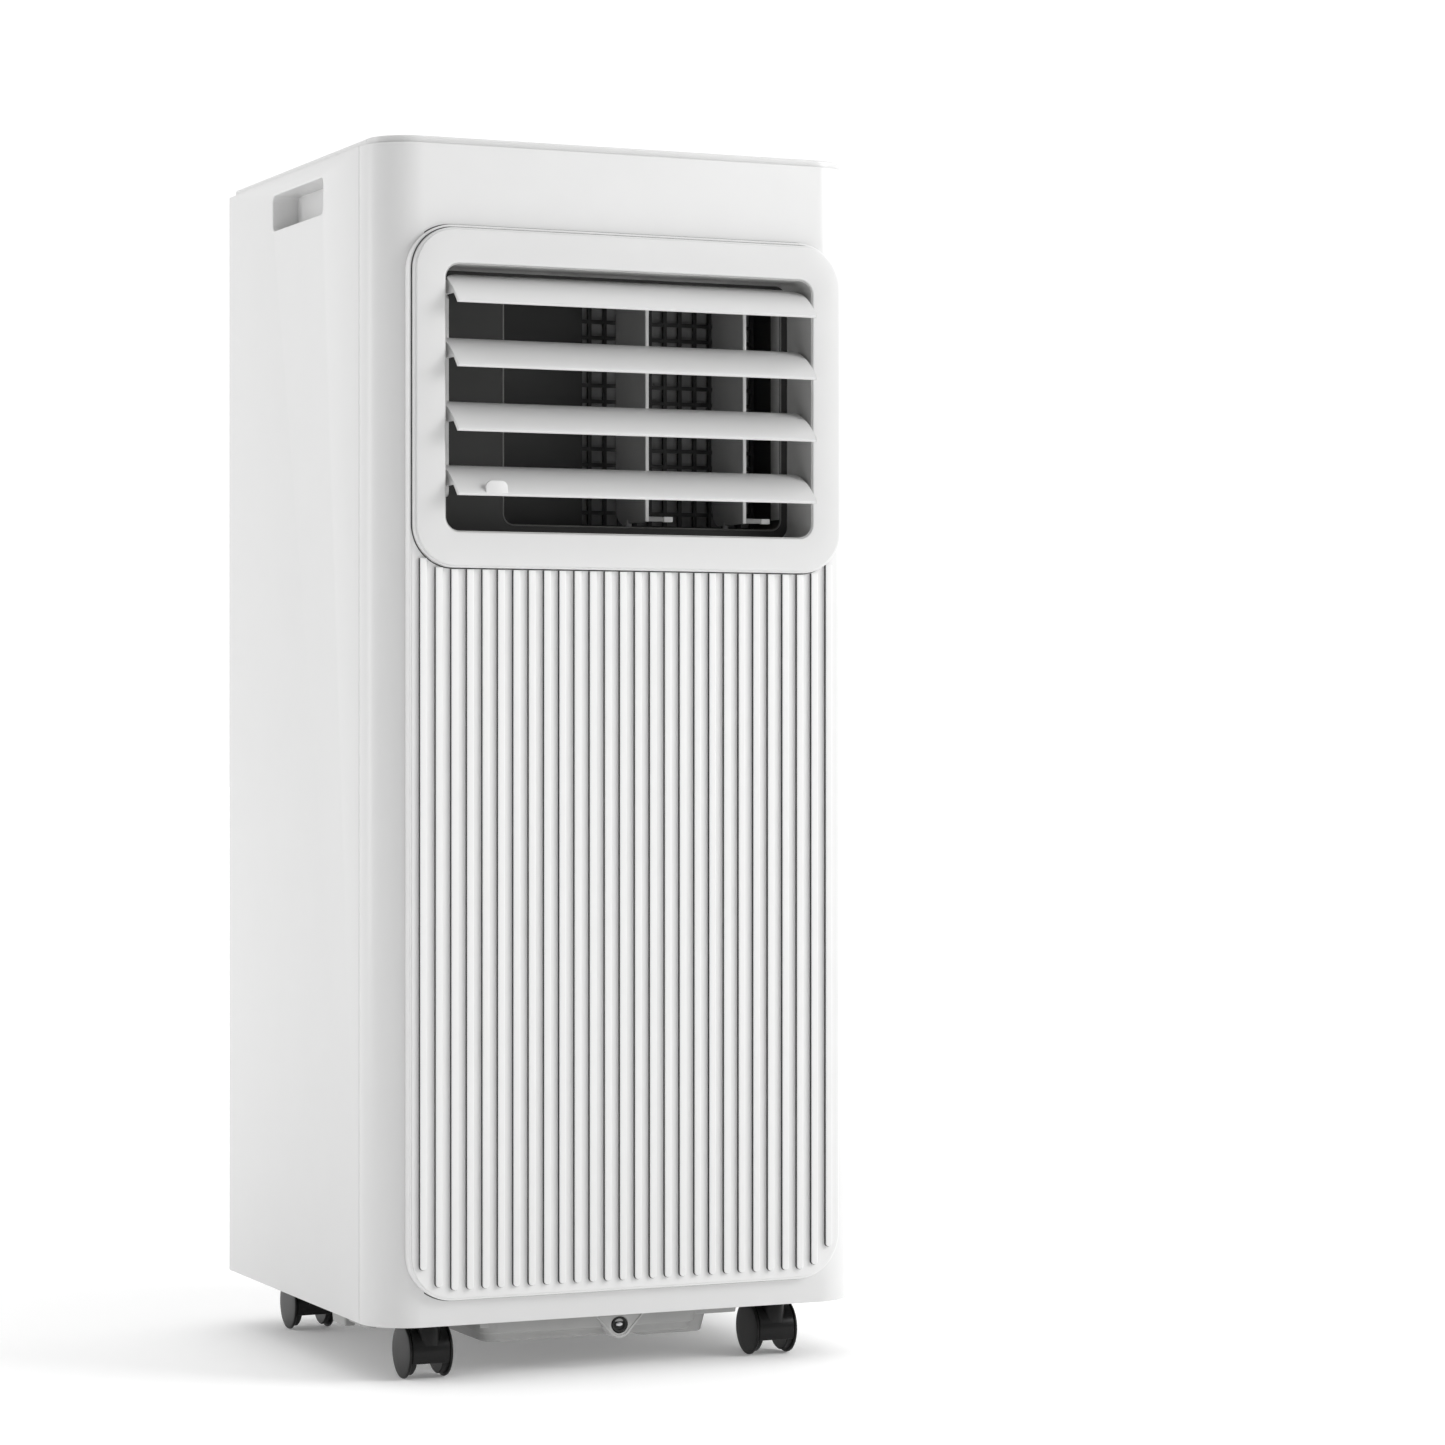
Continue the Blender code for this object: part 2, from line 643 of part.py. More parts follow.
def make_control_panel():
    panel = control_prism("control_panel", -FIT, SHELL_HEIGHT - 0.001, BODY_HEIGHT - 0.0006)
    join(panel, control_prism("flange", 0.003, SHELL_HEIGHT - 0.0025, SHELL_HEIGHT))
    tools = []
    for number in range(len(BUTTON_NAMES)):
        size = [value + 2 * FIT for value in BUTTON_SIZE]
        outline = centred(button_centre(number), size, 0.003 + FIT)
        ends = (up(SHELL_HEIGHT - 0.01), up(BODY_HEIGHT + 0.01))
        tools.append(prism("button_hole", outline, "Z", *ends, "white_plastic"))
    centre = (0, back(CONTROL_FRONT + DISPLAY_ROW))
    size = [value + 2 * FIT for value in DISPLAY_SIZE]
    ends = (up(BODY_HEIGHT - 0.0025), up(BODY_HEIGHT + 0.01))
    tools.append(prism("pocket", centred(centre, size, 0.002 + FIT), "Z", *ends, "white_plastic"))
    cut(panel, *tools)
    ends = (up(BODY_HEIGHT - 0.0022), up(BODY_HEIGHT - 0.0005))
    prism("display_window", centred(centre, DISPLAY_SIZE, 0.002), "Z", *ends, "display_glass")
    for number, name in enumerate(BUTTON_NAMES):
        outline = centred(button_centre(number), BUTTON_SIZE, 0.003)
        ends = (up(SHELL_HEIGHT - 0.0005), up(BODY_HEIGHT - 0.0001))
        button = prism(name + "_button", outline, "Z", *ends, "button_plastic")
        hang_on(button, (*button_centre(number), up(BODY_HEIGHT)))


# Air outlet


def louver_lip(number):
    """(Y, Z) of the front lip of a louver."""
    return back(-LIP_PROUD), up(OPENING_TOP - LIP_DROP - number * LOUVER_PITCH)


def louver_pivot(number):
    y, z = louver_lip(number)
    return y + PIVOT_BACK, z + PIVOT_RISE


def crank_pin(number):
    y, z = louver_pivot(number)
    return y + CRANK_BACK, z - CRANK_DROP


def hull(points):
    """The convex outline round these points, counter-clockwise."""
    points = sorted(set(points))
    outline = []
    for row in (points, points[::-1]):
        chain = []
        for point in row:
            while len(chain) > 1 and turn(chain[-2], chain[-1], point) <= 0:
                chain.pop()
            chain.append(point)
        outline += chain[:-1]
    return outline


def turn(first, second, third):
    """Positive when the path through three points bends to the left."""
    ahead = (second[0] - first[0], second[1] - first[1])
    onward = (third[0] - first[0], third[1] - first[1])
    return ahead[0] * onward[1] - ahead[1] * onward[0]


def blade_line(number, share, depth):
    """A point this share of the way back along a blade, this deep under its upper side."""
    y, z = louver_lip(number)
    half = LOUVER_CHORD / 2
    radius = (half**2 + LOUVER_BULGE**2) / (2 * LOUVER_BULGE)
    spread = math.asin(half / radius)
    angle = LOUVER_TILT + math.pi / 2 + spread * (1 - 2 * share)
    start = LOUVER_TILT + math.pi / 2 + spread
    centre = (y - radius * math.cos(start), z + 0.0013 - radius * math.sin(start))
    reach = radius - depth
    return (centre[0] + reach * math.cos(angle), centre[1] + reach * math.sin(angle))


def make_blade(number):
    """A bowed strip with rounded rear corners: the top one's are larger, to follow the opening."""
    shares = [i / 6 for i in range(7)]
    outline = [blade_line(number, share, 0) for share in shares]
    outline += [blade_line(number, share, LOUVER_THICK) for share in reversed(shares)]
    blade = prism(f"louver_{number + 1}", outline, "X", -LOUVER_HALF, LOUVER_HALF, "white_plastic")
    rear = blade_line(number, 1, 0)[0] - 0.0002
    z = louver_lip(number)[1]
    corner = LOUVER_CORNER if number else TOP_LOUVER_CORNER
    radii = (0, 0, corner, corner)
    low = (-LOUVER_HALF - 0.001, back(-LIP_PROUD) - 0.01)
    plan = rounded(low, (LOUVER_HALF + 0.001, rear), radii, 5)
    combine(blade, [prism("plan", plan, "Z", z - 0.01, z + 0.04, "white_plastic")], "INTERSECT")
    return blade


def make_louver(number):
    louver = make_blade(number)
    middle = LOUVER_THICK / 2
    hub = arc(louver_pivot(number), 0.004, 0, 345, 10)
    web = [blade_line(number, share, middle) for share in (0.25, 0.4, 0.55)]
    ear = hull(hub + web)
    crank = hull(hub + arc(crank_pin(number), 0.0028, 0, 330, 8))
    inner = LOUVER_HALF - EAR_THICK
    pivot = (0, *louver_pivot(number))
    reach = OPENING_HALF + LINER_WALL - GAP
    pieces = [
        prism("ear", ear, "X", -LOUVER_HALF, -inner, "white_plastic"),
        prism("ear", ear, "X", inner, LOUVER_HALF, "white_plastic"),
        prism("crank", crank, "X", 0.0005 - LOUVER_HALF, -inner - 0.0005, "white_plastic"),
        rod("pin", "X", pivot, PIVOT_PIN_RADIUS, inner + 0.001, reach, "white_plastic", 14),
        rod("pin", "X", pivot, PIVOT_PIN_RADIUS, -reach, -inner - 0.001, "white_plastic", 14),
    ]
    pin = (0, *crank_pin(number))
    ends = (-inner - 0.001, LINK_X + LINK_THICK)
    pieces.append(rod("crank_pin", "X", pin, CRANK_PIN_RADIUS, *ends, "white_plastic", 12))
    if number == LOUVER_COUNT - 1:
        pieces.append(make_finger_tab(number))
    join(louver, *pieces)
    smooth(louver)
    hang_on(louver, pivot)


def make_finger_tab(number):
    y, z = louver_lip(number)
    centre_x = TAB_INSET - OPENING_HALF
    low = (centre_x - 0.0065, z + 0.0003)
    high = (centre_x + 0.0065, z + 0.0088)
    outline = rounded(low, high, (0, 0, 0.004, 0.004))
    return prism("tab", outline, "Y", y + 0.0004, y + 0.0024, "white_plastic")


def make_louver_link():
    top_y, top_z = crank_pin(0)
    low_y, low_z = crank_pin(LOUVER_COUNT - 1)
    radius = LINK_HALF_WIDTH + 0.0008
    outline = arc((top_y, top_z), radius, 0, 180, 6) + arc((low_y, low_z), radius, 180, 360, 6)
    ends = (LINK_X, LINK_X + LINK_THICK)
    link = prism("louver_link", outline, "X", *ends, "white_plastic")
    holes = []
    for number in range(LOUVER_COUNT):
        centre = (LINK_X, *crank_pin(number))
        radius = CRANK_PIN_RADIUS + RUNNING
        holes.append(rod("hole", "X", centre, radius, -0.01, 0.01, "white_plastic", 12))
    cut(link, *holes)
    hang_on(link, (LINK_X, top_y, top_z))


def vane_xs():
    right = DUCT_RIGHT - VANE_RIGHT_INSET
    return {"vane_left": right - VANE_SPACING, "vane_right": right}


def make_vane(name, x):
    low = (back(VANE_FRONT), up(DUCT_BOTTOM + 0.0025))
    high = (back(VANE_REAR), up(DUCT_TOP - 0.003))
    outline = rounded(low, high, (0.001, 0.010, 0.010, 0.001))
    vane = prism(name, outline, "X", x - VANE_THICK / 2, x + VANE_THICK / 2, "white_plastic")
    pivot = (x, back(VANE_PIVOT), 0)
    ends = (up(DUCT_BOTTOM - DUCT_WALL + GAP), up(DUCT_BOTTOM + 0.004))
    lower = rod("pin", "Z", pivot, VANE_PIN_RADIUS, *ends, "white_plastic", 12)
    ends = (up(DUCT_TOP - 0.004), up(DUCT_TOP + DUCT_WALL - GAP))
    upper = rod("pin", "Z", pivot, VANE_PIN_RADIUS, *ends, "white_plastic", 12)
    high = (x + VANE_TAB, low[0] + 0.003, low[1] + 0.003)
    tab = box("tab", (x, low[0], low[1]), high, "white_plastic")
    join(vane, lower, upper, tab)
    smooth(vane)
    hang_on(vane, (x, back(VANE_PIVOT), up(DUCT_BOTTOM)))


def duct_prism(name, grow, start, end, finish_name="duct_plastic"):
    low = (DUCT_LEFT - grow, up(DUCT_BOTTOM - grow))
    high = (DUCT_RIGHT + grow, up(DUCT_TOP + grow))
    outline = rounded(low, high, 0.006 + grow)
    return prism(name, outline, "Y", back(start), back(end), finish_name)


def make_outlet_duct():
    start = RECESS_DEPTH + GAP
    duct = opening_prism("outlet_duct", LINER_WALL, start, start + DUCT_WALL)
    duct.data.materials.clear()
    duct.data.materials.append(finish("duct_plastic"))
    join(duct, duct_prism("tube", DUCT_WALL, start + 0.001, DUCT_END))
    cut(duct, duct_prism("bore", 0, start - 0.001, DUCT_END + 0.001))
    holes = []
    for x in vane_xs().values():
        centre = (x, back(VANE_PIVOT), 0)
        ends = (up(DUCT_BOTTOM - 0.004), up(DUCT_TOP + 0.004))
        holes.append(rod("hole", "Z", centre, VANE_PIN_RADIUS + RUNNING, *ends, "duct_plastic", 12))
    cut(duct, *holes)
    smooth(duct)


def even_bars(low, high, target, bar):
    """Edges of evenly spread bars: a border, then an open cell, a bar and so on."""
    cells = max(round((high - low - bar) / target), 1)
    pitch = (high - low - bar) / cells
    edges = []
    for i in range(cells + 1):
        edges += [low + i * pitch, low + i * pitch + bar]
    return edges


def make_safety_grille():
    xs = even_bars(DUCT_LEFT, DUCT_RIGHT, GRILLE_PITCH, GRILLE_BAR)
    zs = even_bars(up(DUCT_BOTTOM), up(DUCT_TOP), GRILLE_PITCH, GRILLE_BAR)
    start = DUCT_END - GRILLE_SETBACK
    ends = (back(start), back(start + 0.002))
    grille = lattice("safety_grille", xs, zs, lambda i, j: i % 2 == 1 and j % 2 == 1, *ends,
                     "duct_plastic")
    combine(grille, [duct_prism("room", -FIT, start - 0.001, start + 0.003)], "INTERSECT")


# Base and casters


def stems():
    """Swivel axis of each caster: name to (X, Y)."""
    left = CASTER_LEFT_INSET - HALF
    right = HALF - CASTER_RIGHT_INSET
    front = back(CASTER_FRONT - TRAIL)
    rear = back(BODY_DEPTH - CASTER_REAR_INSET - TRAIL)
    return {
        "front_left": (left, front),
        "front_right": (right, front),
        "rear_left": (left, rear),
        "rear_right": (right, rear),
    }


def make_base_pan():
    edge = WALL + FIT
    low = (edge - HALF, back(edge))
    high = (HALF - edge, back(BODY_DEPTH - edge))
    radii = (FRONT_RADIUS - edge, FRONT_RADIUS - edge, REAR_RADIUS - edge, REAR_RADIUS - edge)
    pan = prism("base_pan", rounded(low, high, radii, 6), "Z", up(0.003), up(0.020), "base_plastic")
    wall = 0.002
    low = (low[0] + wall, low[1] + wall)
    high = (high[0] - wall, high[1] - wall)
    radii = tuple(radius - wall for radius in radii)
    cut(pan, prism("inside", rounded(low, high, radii, 6), "Z", up(0.006), up(0.03), "base_plastic"))
    step_half = HALF - 0.060
    step = box("step", (-step_half, back(0.012), up(-STEP_DROP)),
               (step_half, back(BODY_DEPTH - 0.012), up(0.004)), "base_plastic")
    tub = box("tub", (0.067 - HALF, back(0.0165), up(-TUB_DROP)),
              (HALF - 0.095, back(BODY_DEPTH - 0.018), up(0.001)), "base_plastic")
    join(pan, step, tub)
    reach = math.hypot(TRAIL + WHEEL_RADIUS, CASTER_HALF_WIDTH) + 0.0015
    wells = []
    sockets = []
    bores = []
    for x, y in stems().values():
        centre = (x, y, 0)
        wells.append(rod("well", "Z", centre, reach, up(-0.03), up(0.003), "base_plastic", 24))
        sockets.append(rod("socket", "Z", centre, 0.0085, up(0.004), up(0.018), "base_plastic", 16))
        ends = (up(-0.01), up(STEM_HEIGHT + 0.002))
        bores.append(rod("bore", "Z", centre, STEM_RADIUS + RUNNING, *ends, "base_plastic", 16))
    cut(pan, *wells)
    join(pan, *sockets)
    cut(pan, *bores)
    join(pan, make_drain_boss())
    centre = (0, 0, up(-DRAIN_DROP))
    ends = (back(DRAIN_DEPTH - 0.004), back(DRAIN_DEPTH + 0.009))
    cut(pan, rod("drain_hole", "Y", centre, DRAIN_RADIUS + FIT, *ends, "base_plastic"))
    smooth(pan)


def make_drain_boss():
    foot = 0.0078
    outline = arc((0, up(-DRAIN_DROP)), foot, 215, 325, 5)
    outline += [(0.0125, up(-0.0003)), (0.0125, up(0.004)), (-0.0125, up(0.004)), (-0.0125, up(-0.0003))]
    return prism("boss", outline, "Y", back(DRAIN_DEPTH), back(0.020), "base_plastic")


def make_drain_plug():
    start, end = DRAIN_DEPTH + 0.0004, DRAIN_DEPTH + 0.0085
    profile = [(0, start + 0.001), (0.0022, start + 0.001), (0.0026, start), (DRAIN_RADIUS, start)]
    profile += [(DRAIN_RADIUS, end), (0, end)]
    centre = (0, back(0), up(-DRAIN_DROP))
    plug = lathe("drain_plug", profile, "Y", centre, "rubber")
    hang_on(plug, (0, back(DRAIN_DEPTH), up(-DRAIN_DROP)))


def make_caster_body(name, x, y):
    """A hood over both treads and between the wheels, with the stem ahead of its axle."""
    half = CASTER_HALF_WIDTH - WHEEL_THICK - GAP
    end = CASTER_HALF_WIDTH - WHEEL_CAP - GAP
    axle = (x, y + TRAIL, AXLE_Z)
    inside = WHEEL_RADIUS - TREAD_SINK + RUNNING
    radius = inside + HOOD_WALL
    profile = [(0, -half), (inside, -half), (inside, -end), (radius, -end)]
    profile += [(out, -along) for out, along in reversed(profile)]
    hood = lathe(name + "_caster", profile, "X", axle, "caster_plastic", 24)
    low = (x - 0.02, y - 0.02, -0.01)
    cut(hood, box("below", low, (x + 0.02, y + 0.05, AXLE_Z - 0.0025), "caster_plastic"))
    hub = rod("hub", "X", axle, 0.0045, -half, half, "caster_plastic", 16)
    boss = rod("boss", "Z", (x, y, 0), 0.0065, AXLE_Z + 0.004, up(0.0022), "caster_plastic", 16)
    ends = (AXLE_Z + 0.006, up(STEM_HEIGHT))
    stem = rod("stem", "Z", (x, y, 0), STEM_RADIUS, *ends, "caster_plastic", 16)
    join(hood, hub, boss, stem)
    cut(hood, rod("bore", "X", axle, AXLE_RADIUS + GAP, -0.02, 0.02, "caster_plastic", 16))
    smooth(hood)
    hang_on(hood, (x, y, AXLE_Z))


def make_wheel(name, x, y, side):
    inner = CASTER_HALF_WIDTH - WHEEL_THICK
    outer = CASTER_HALF_WIDTH
    bore = AXLE_RADIUS + GAP
    edge = 0.0005
    tread = WHEEL_RADIUS - TREAD_SINK
    profile = [(bore, inner), (tread, inner), (tread, outer - WHEEL_CAP), (WHEEL_RADIUS, outer - WHEEL_CAP)]
    profile += [(WHEEL_RADIUS, outer - edge), (WHEEL_RADIUS - edge, outer), (bore, outer)]
    profile = [(radius, side * along) for radius, along in profile]
    centre = (x, y + TRAIL, AXLE_Z)
    wheel = lathe(name, profile, "X", centre, "wheel_tread", 24)
    hang_on(wheel, centre)


def make_casters():
    for name, (x, y) in stems().items():
        make_caster_body(name, x, y)
        centre = (x, y + TRAIL, AXLE_Z)
        reach = CASTER_HALF_WIDTH - 0.0004
        axle = rod(name + "_axle", "X", centre, AXLE_RADIUS, -reach, reach, "steel", 16)
        hang_on(axle, centre)
        make_wheel(name + "_wheel_outer", x, y, math.copysign(1, x))
        make_wheel(name + "_wheel_inner", x, y, -math.copysign(1, x))


# Refrigeration and air handling inside the cabinet


def make_drip_tray():
    side = HALF - WALL - 0.008
    low = (-side, back(0.085), up(TRAY_TOP - 0.010))
    high = (side, back(BODY_DEPTH - 0.020), up(TRAY_TOP))
    tray = box("drip_tray", low, high, "base_plastic")
    low = (low[0] + 0.002, low[1] + 0.002, low[2] + 0.002)
    high = (high[0] - 0.002, high[1] - 0.002, high[2] + 0.01)
    cut(tray, box("inside", low, high, "base_plastic"))


def make_coil(name, bottom, top):
    """A finned block between two header tubes' end plates."""
    side = HALF - 0.022
    low = (-side, back(COIL_FRONT), up(bottom))
    high = (side, back(COIL_FRONT + COIL_THICK), up(top))
    coil = box(name, low, high, "aluminium_fin")
    bends = []
    rows = max(int((top - bottom - 0.010) / 0.025), 1)
    for i in range(rows):
        z = up(bottom + 0.012 + i * 0.025)
        centre = (side - 0.001, back(COIL_FRONT + COIL_THICK / 2), z)
        ends = (0, 0.009)
        bends.append(rod("bend", "X", centre, 0.0045, *ends, "copper", 8))
    join(coil, *bends)


def make_evaporator_blower():
    scroll_front = DUCT_END + GAP
    scroll_back = DUCT_END + BLOWER_DEPTH
    centre = (0, back(DUCT_END + 0.044), up((DUCT_BOTTOM + DUCT_TOP) / 2))
    scroll = duct_prism("evaporator_blower_scroll", DUCT_WALL, scroll_front, scroll_back, "foam")
    throat = box("throat", (DUCT_LEFT, back(scroll_front - 0.01), up(DUCT_BOTTOM)),
                 (DUCT_RIGHT, centre[1], up(DUCT_TOP)), "foam")
    chamber = rod("chamber", "X", centre, BLOWER_RADIUS + 0.004, DUCT_LEFT, DUCT_RIGHT, "foam", 28)
    window_half = BLOWER_RADIUS - 0.006
    intake = box("intake", (DUCT_LEFT + 0.004, centre[1], centre[2] - window_half),
                 (DUCT_RIGHT - 0.004, back(scroll_back + 0.01), centre[2] + window_half), "foam")
    shaft_radius = 0.003
    shaft_hole = rod("shaft_hole", "X", centre, shaft_radius + 0.001, DUCT_LEFT - 0.01,
                     DUCT_LEFT + 0.01, "foam", 16)
    cut(scroll, throat, chamber, intake, shaft_hole)
    motor_face = DUCT_LEFT - DUCT_WALL - GAP
    start, end = DUCT_LEFT + 0.005, DUCT_RIGHT - 0.005
    wheel = prism("evaporator_blower_wheel", blower_outline(centre[1:], BLOWER_RADIUS), "X",
                  start, end, "fan_plastic")
    shaft = rod("shaft", "X", centre, shaft_radius, motor_face - 0.010, start + 0.002, "steel", 16)
    join(wheel, shaft)
    hang_on(wheel, (start, centre[1], centre[2]))
    profile = [(0, -0.012), (shaft_radius + 0.0006, -0.012), (shaft_radius + 0.0006, 0)]
    profile += [(0.024, 0), (0.028, -0.004), (0.028, -0.040), (0.020, -0.044), (0, -0.044)]
    lathe("evaporator_blower_motor", profile, "X", (motor_face, centre[1], centre[2]), "black_steel")


def blower_outline(centre, radius, blades=16):
    """The end outline of a blower wheel: thin blades round a core."""
    outline = []
    for i in range(blades):
        base = 360 * i / blades
        for share, turn in ((0.80, 0), (1, 4), (1, 9), (0.80, 7)):
            angle = math.radians(base + turn)
            outline.append((centre[0] + share * radius * math.cos(angle),
                            centre[1] + share * radius * math.sin(angle)))
    return outline


def make_condenser_blower():
    rear = COIL_FRONT - LOWER_SCROLL_GAP
    front = rear - LOWER_SCROLL_DEPTH
    x = HALF - LOWER_BLOWER_INSET
    centre = (x, 0, up(LOWER_BLOWER_HEIGHT))
    right = HALF - SCROLL_SIDE_GAP
    reach = LOWER_BLOWER_RADIUS + LOWER_SCROLL_MARGIN
    left = x - reach
    bottom = LOWER_BLOWER_HEIGHT - reach
    top = PORT_HEIGHT + EXHAUST_HALF
    wall = SCROLL_WALL
    scroll = box("condenser_blower_scroll", (left, back(front), up(bottom)),
                 (right, back(rear), up(top)), "foam")
    duct_low = (-EXHAUST_HALF, back(front), up(PORT_HEIGHT - EXHAUST_HALF))
    duct_high = (right - 0.001, back(BODY_DEPTH - COLLAR_SEAT), up(top))
    join(scroll, box("duct", duct_low, duct_high, "foam"))
    y0, y1 = back(front + wall), back(rear - wall)
    chamber = rod("chamber", "Y", centre, LOWER_BLOWER_RADIUS + 0.007, y0, y1, "foam", 32)
    riser = box("riser", (x + 0.010, y0, centre[2]), (right - wall, y1, up(top - wall)), "foam")
    passage = box("passage", (duct_low[0] + wall, y0, duct_low[2] + wall),
                  (right - wall, back(BODY_DEPTH - COLLAR_SEAT - wall), up(top - wall)), "foam")
    port_centre = (0, back(BODY_DEPTH - COLLAR_SEAT), up(PORT_HEIGHT))
    port = rod("port", "Y", port_centre, PORT_RADIUS, -wall - 0.001, 0.01, "foam", 36)
    intake = rod("intake", "Y", centre, LOWER_BLOWER_RADIUS - 0.012, y1 - 0.001, back(rear + 0.01),
                 "foam", 32)
    shaft_hole = rod("shaft_hole", "Y", centre, SHAFT_RADIUS + 0.001, back(front - 0.01),
                     back(front + 0.01), "foam", 16)
    cut(scroll, chamber, riser, passage, port, intake, shaft_hole)
    start, end = front + wall + 0.004, rear - wall - 0.004
    outline = blower_outline((centre[0], centre[2]), LOWER_BLOWER_RADIUS, 18)
    wheel = prism("condenser_blower_wheel", outline, "Y", back(start), back(end), "fan_plastic")
    motor_face = front - GAP
    shaft = rod("shaft", "Y", centre, SHAFT_RADIUS, back(motor_face - 0.010), back(start + 0.002),
                "steel", 16)
    join(wheel, shaft)
    hang_on(wheel, (centre[0], back(start), centre[2]))
    profile = [(0, -0.012), (SHAFT_RADIUS + 0.0006, -0.012), (SHAFT_RADIUS + 0.0006, 0)]
    profile += [(0.028, 0), (0.032, -0.004), (0.032, -0.038), (0.024, -0.042), (0, -0.042)]
    motor_centre = (centre[0], back(motor_face), centre[2])
    lathe("condenser_blower_motor", profile, "Y", motor_centre, "black_steel")


def compressor_centre():
    return (COMPRESSOR_INSET - HALF, back(COMPRESSOR_DEPTH), up(0))


def compressor_top():
    return PORT_HEIGHT - EXHAUST_HALF - 0.030


def make_compressor():
    top = compressor_top()
    radius = COMPRESSOR_RADIUS
    profile = [(0, 0.0063), (radius + 0.006, 0.0063), (radius + 0.006, 0.010), (radius, 0.012)]
    profile += [(radius, top - 0.022), (radius * 0.85, top - 0.008), (radius * 0.4, top), (0, top)]
    lathe("compressor", profile, "Z", compressor_centre(), "black_steel")


def accumulator_centre():
    return (0.024 - HALF, back(COMPRESSOR_DEPTH), up(0))


def make_accumulator():
    top = compressor_top() - 0.020
    radius = 0.0145
    profile = [(0, 0.0063), (0.004, 0.0063), (0.004, 0.030), (radius, 0.040)]
    profile += [(radius, top - 0.010), (0.004, top), (0, top)]
    lathe("accumulator", profile, "Z", accumulator_centre(), "black_steel", 20)


def make_pipe(name, points, radius):
    """A bent copper tube through these points, its corners eased."""
    curve = bpy.data.curves.new(name, "CURVE")
    curve.dimensions = "3D"
    curve.bevel_depth = radius
    curve.bevel_resolution = 2
    curve.use_fill_caps = True
    eased = [Vector(points[0])]
    for before, here, after in zip(points, points[1:], points[2:]):
        before, here, after = Vector(before), Vector(here), Vector(after)
        start = here + (before - here).normalized() * 0.012
        end = here + (after - here).normalized() * 0.012
        for share in (0, 0.25, 0.5, 0.75, 1):
            first = start.lerp(here, share)
            eased.append(first.lerp(here.lerp(end, share), share))
    eased.append(Vector(points[-1]))
    spline = curve.splines.new("POLY")
    spline.points.add(len(eased) - 1)
    for point, place in zip(spline.points, eased):
        point.co = (*place, 1)
    curve.materials.append(finish("copper"))
    pipe = bpy.data.objects.new(name, curve)
    bpy.context.scene.collection.objects.link(pipe)


def make_pipes():
    x, y, _ = compressor_centre()
    top = up(compressor_top() + GAP)
    run = top + 0.016
    end_y = back(COIL_FRONT - GAP)
    coil_z = up(PORT_HEIGHT - EXHAUST_HALF - 0.024)
    points = [(x, y, top), (x, y, run), (x - 0.030, y + 0.040, run), (x - 0.030, end_y - 0.03, run)]
    points += [(x - 0.030, end_y - 0.022, coil_z), (x - 0.030, end_y, coil_z)]
    make_pipe("discharge_pipe", points, 0.004)
    x, y, _ = accumulator_centre()
    low = up(compressor_top() - 0.020 + GAP)
    high = up(TRAY_TOP + 0.040)
    points = [(x, y, low), (x, y, high), (x + 0.012, end_y - 0.030, high), (x + 0.012, end_y, high)]
    make_pipe("suction_pipe", points, 0.004)


def make_electrical_box():
    low = (0.008 - HALF, back(0.120), up(PORT_HEIGHT - EXHAUST_HALF + 0.004))
    high = (-EXHAUST_HALF - 0.010, back(0.200), up(TRAY_TOP - 0.016))
    case = box("electrical_box", low, high, "box_steel")
    low = (low[0] + 0.0015, low[1] + 0.0015, low[2] + 0.0015)
    high = (high[0] - 0.0015, high[1] - 0.0015, high[2] + 0.01)
    cut(case, box("inside", low, high, "box_steel"))


def clear_scene():
    for obj in list(bpy.data.objects):
        bpy.data.objects.remove(obj, do_unlink=True)


def main():
    clear_scene()
    make_front_shell()
    make_ribbed_panel()
    make_outlet_bezel()
    make_side_panel("left_side_panel", -1)
    make_side_panel("right_side_panel", 1)
    make_rear_panel()
    make_cord_gland()
    for name, (bottom, top) in filter_spans().items():
        make_filter(name, bottom, top)
    make_exhaust_collar()
    make_top_cover()
    make_control_panel()
    for number in range(LOUVER_COUNT):
        make_louver(number)
    make_louver_link()
    for name, x in vane_xs().items():
        make_vane(name, x)
    make_outlet_duct()
    make_safety_grille()
    make_base_pan()
    make_drain_plug()
    make_casters()
    make_drip_tray()
    make_coil("condenser_coil", 0.0203, PORT_HEIGHT - EXHAUST_HALF - 0.012)
    make_coil("evaporator_coil", TRAY_TOP - 0.0077, SHELL_HEIGHT - 0.008)
    make_evaporator_blower()
    make_condenser_blower()
    make_compressor()
    make_accumulator()
    make_pipes()
    make_electrical_box()


main()
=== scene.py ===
"""Looks for a floor-standing portable air conditioner: skins, materials, light, camera.

Metres, +Z up, in the frame of the CAD model. Depths are measured back from the flat
front of the cabinet with back(), and heights up from its lower edge with up().
"""

import json
import math

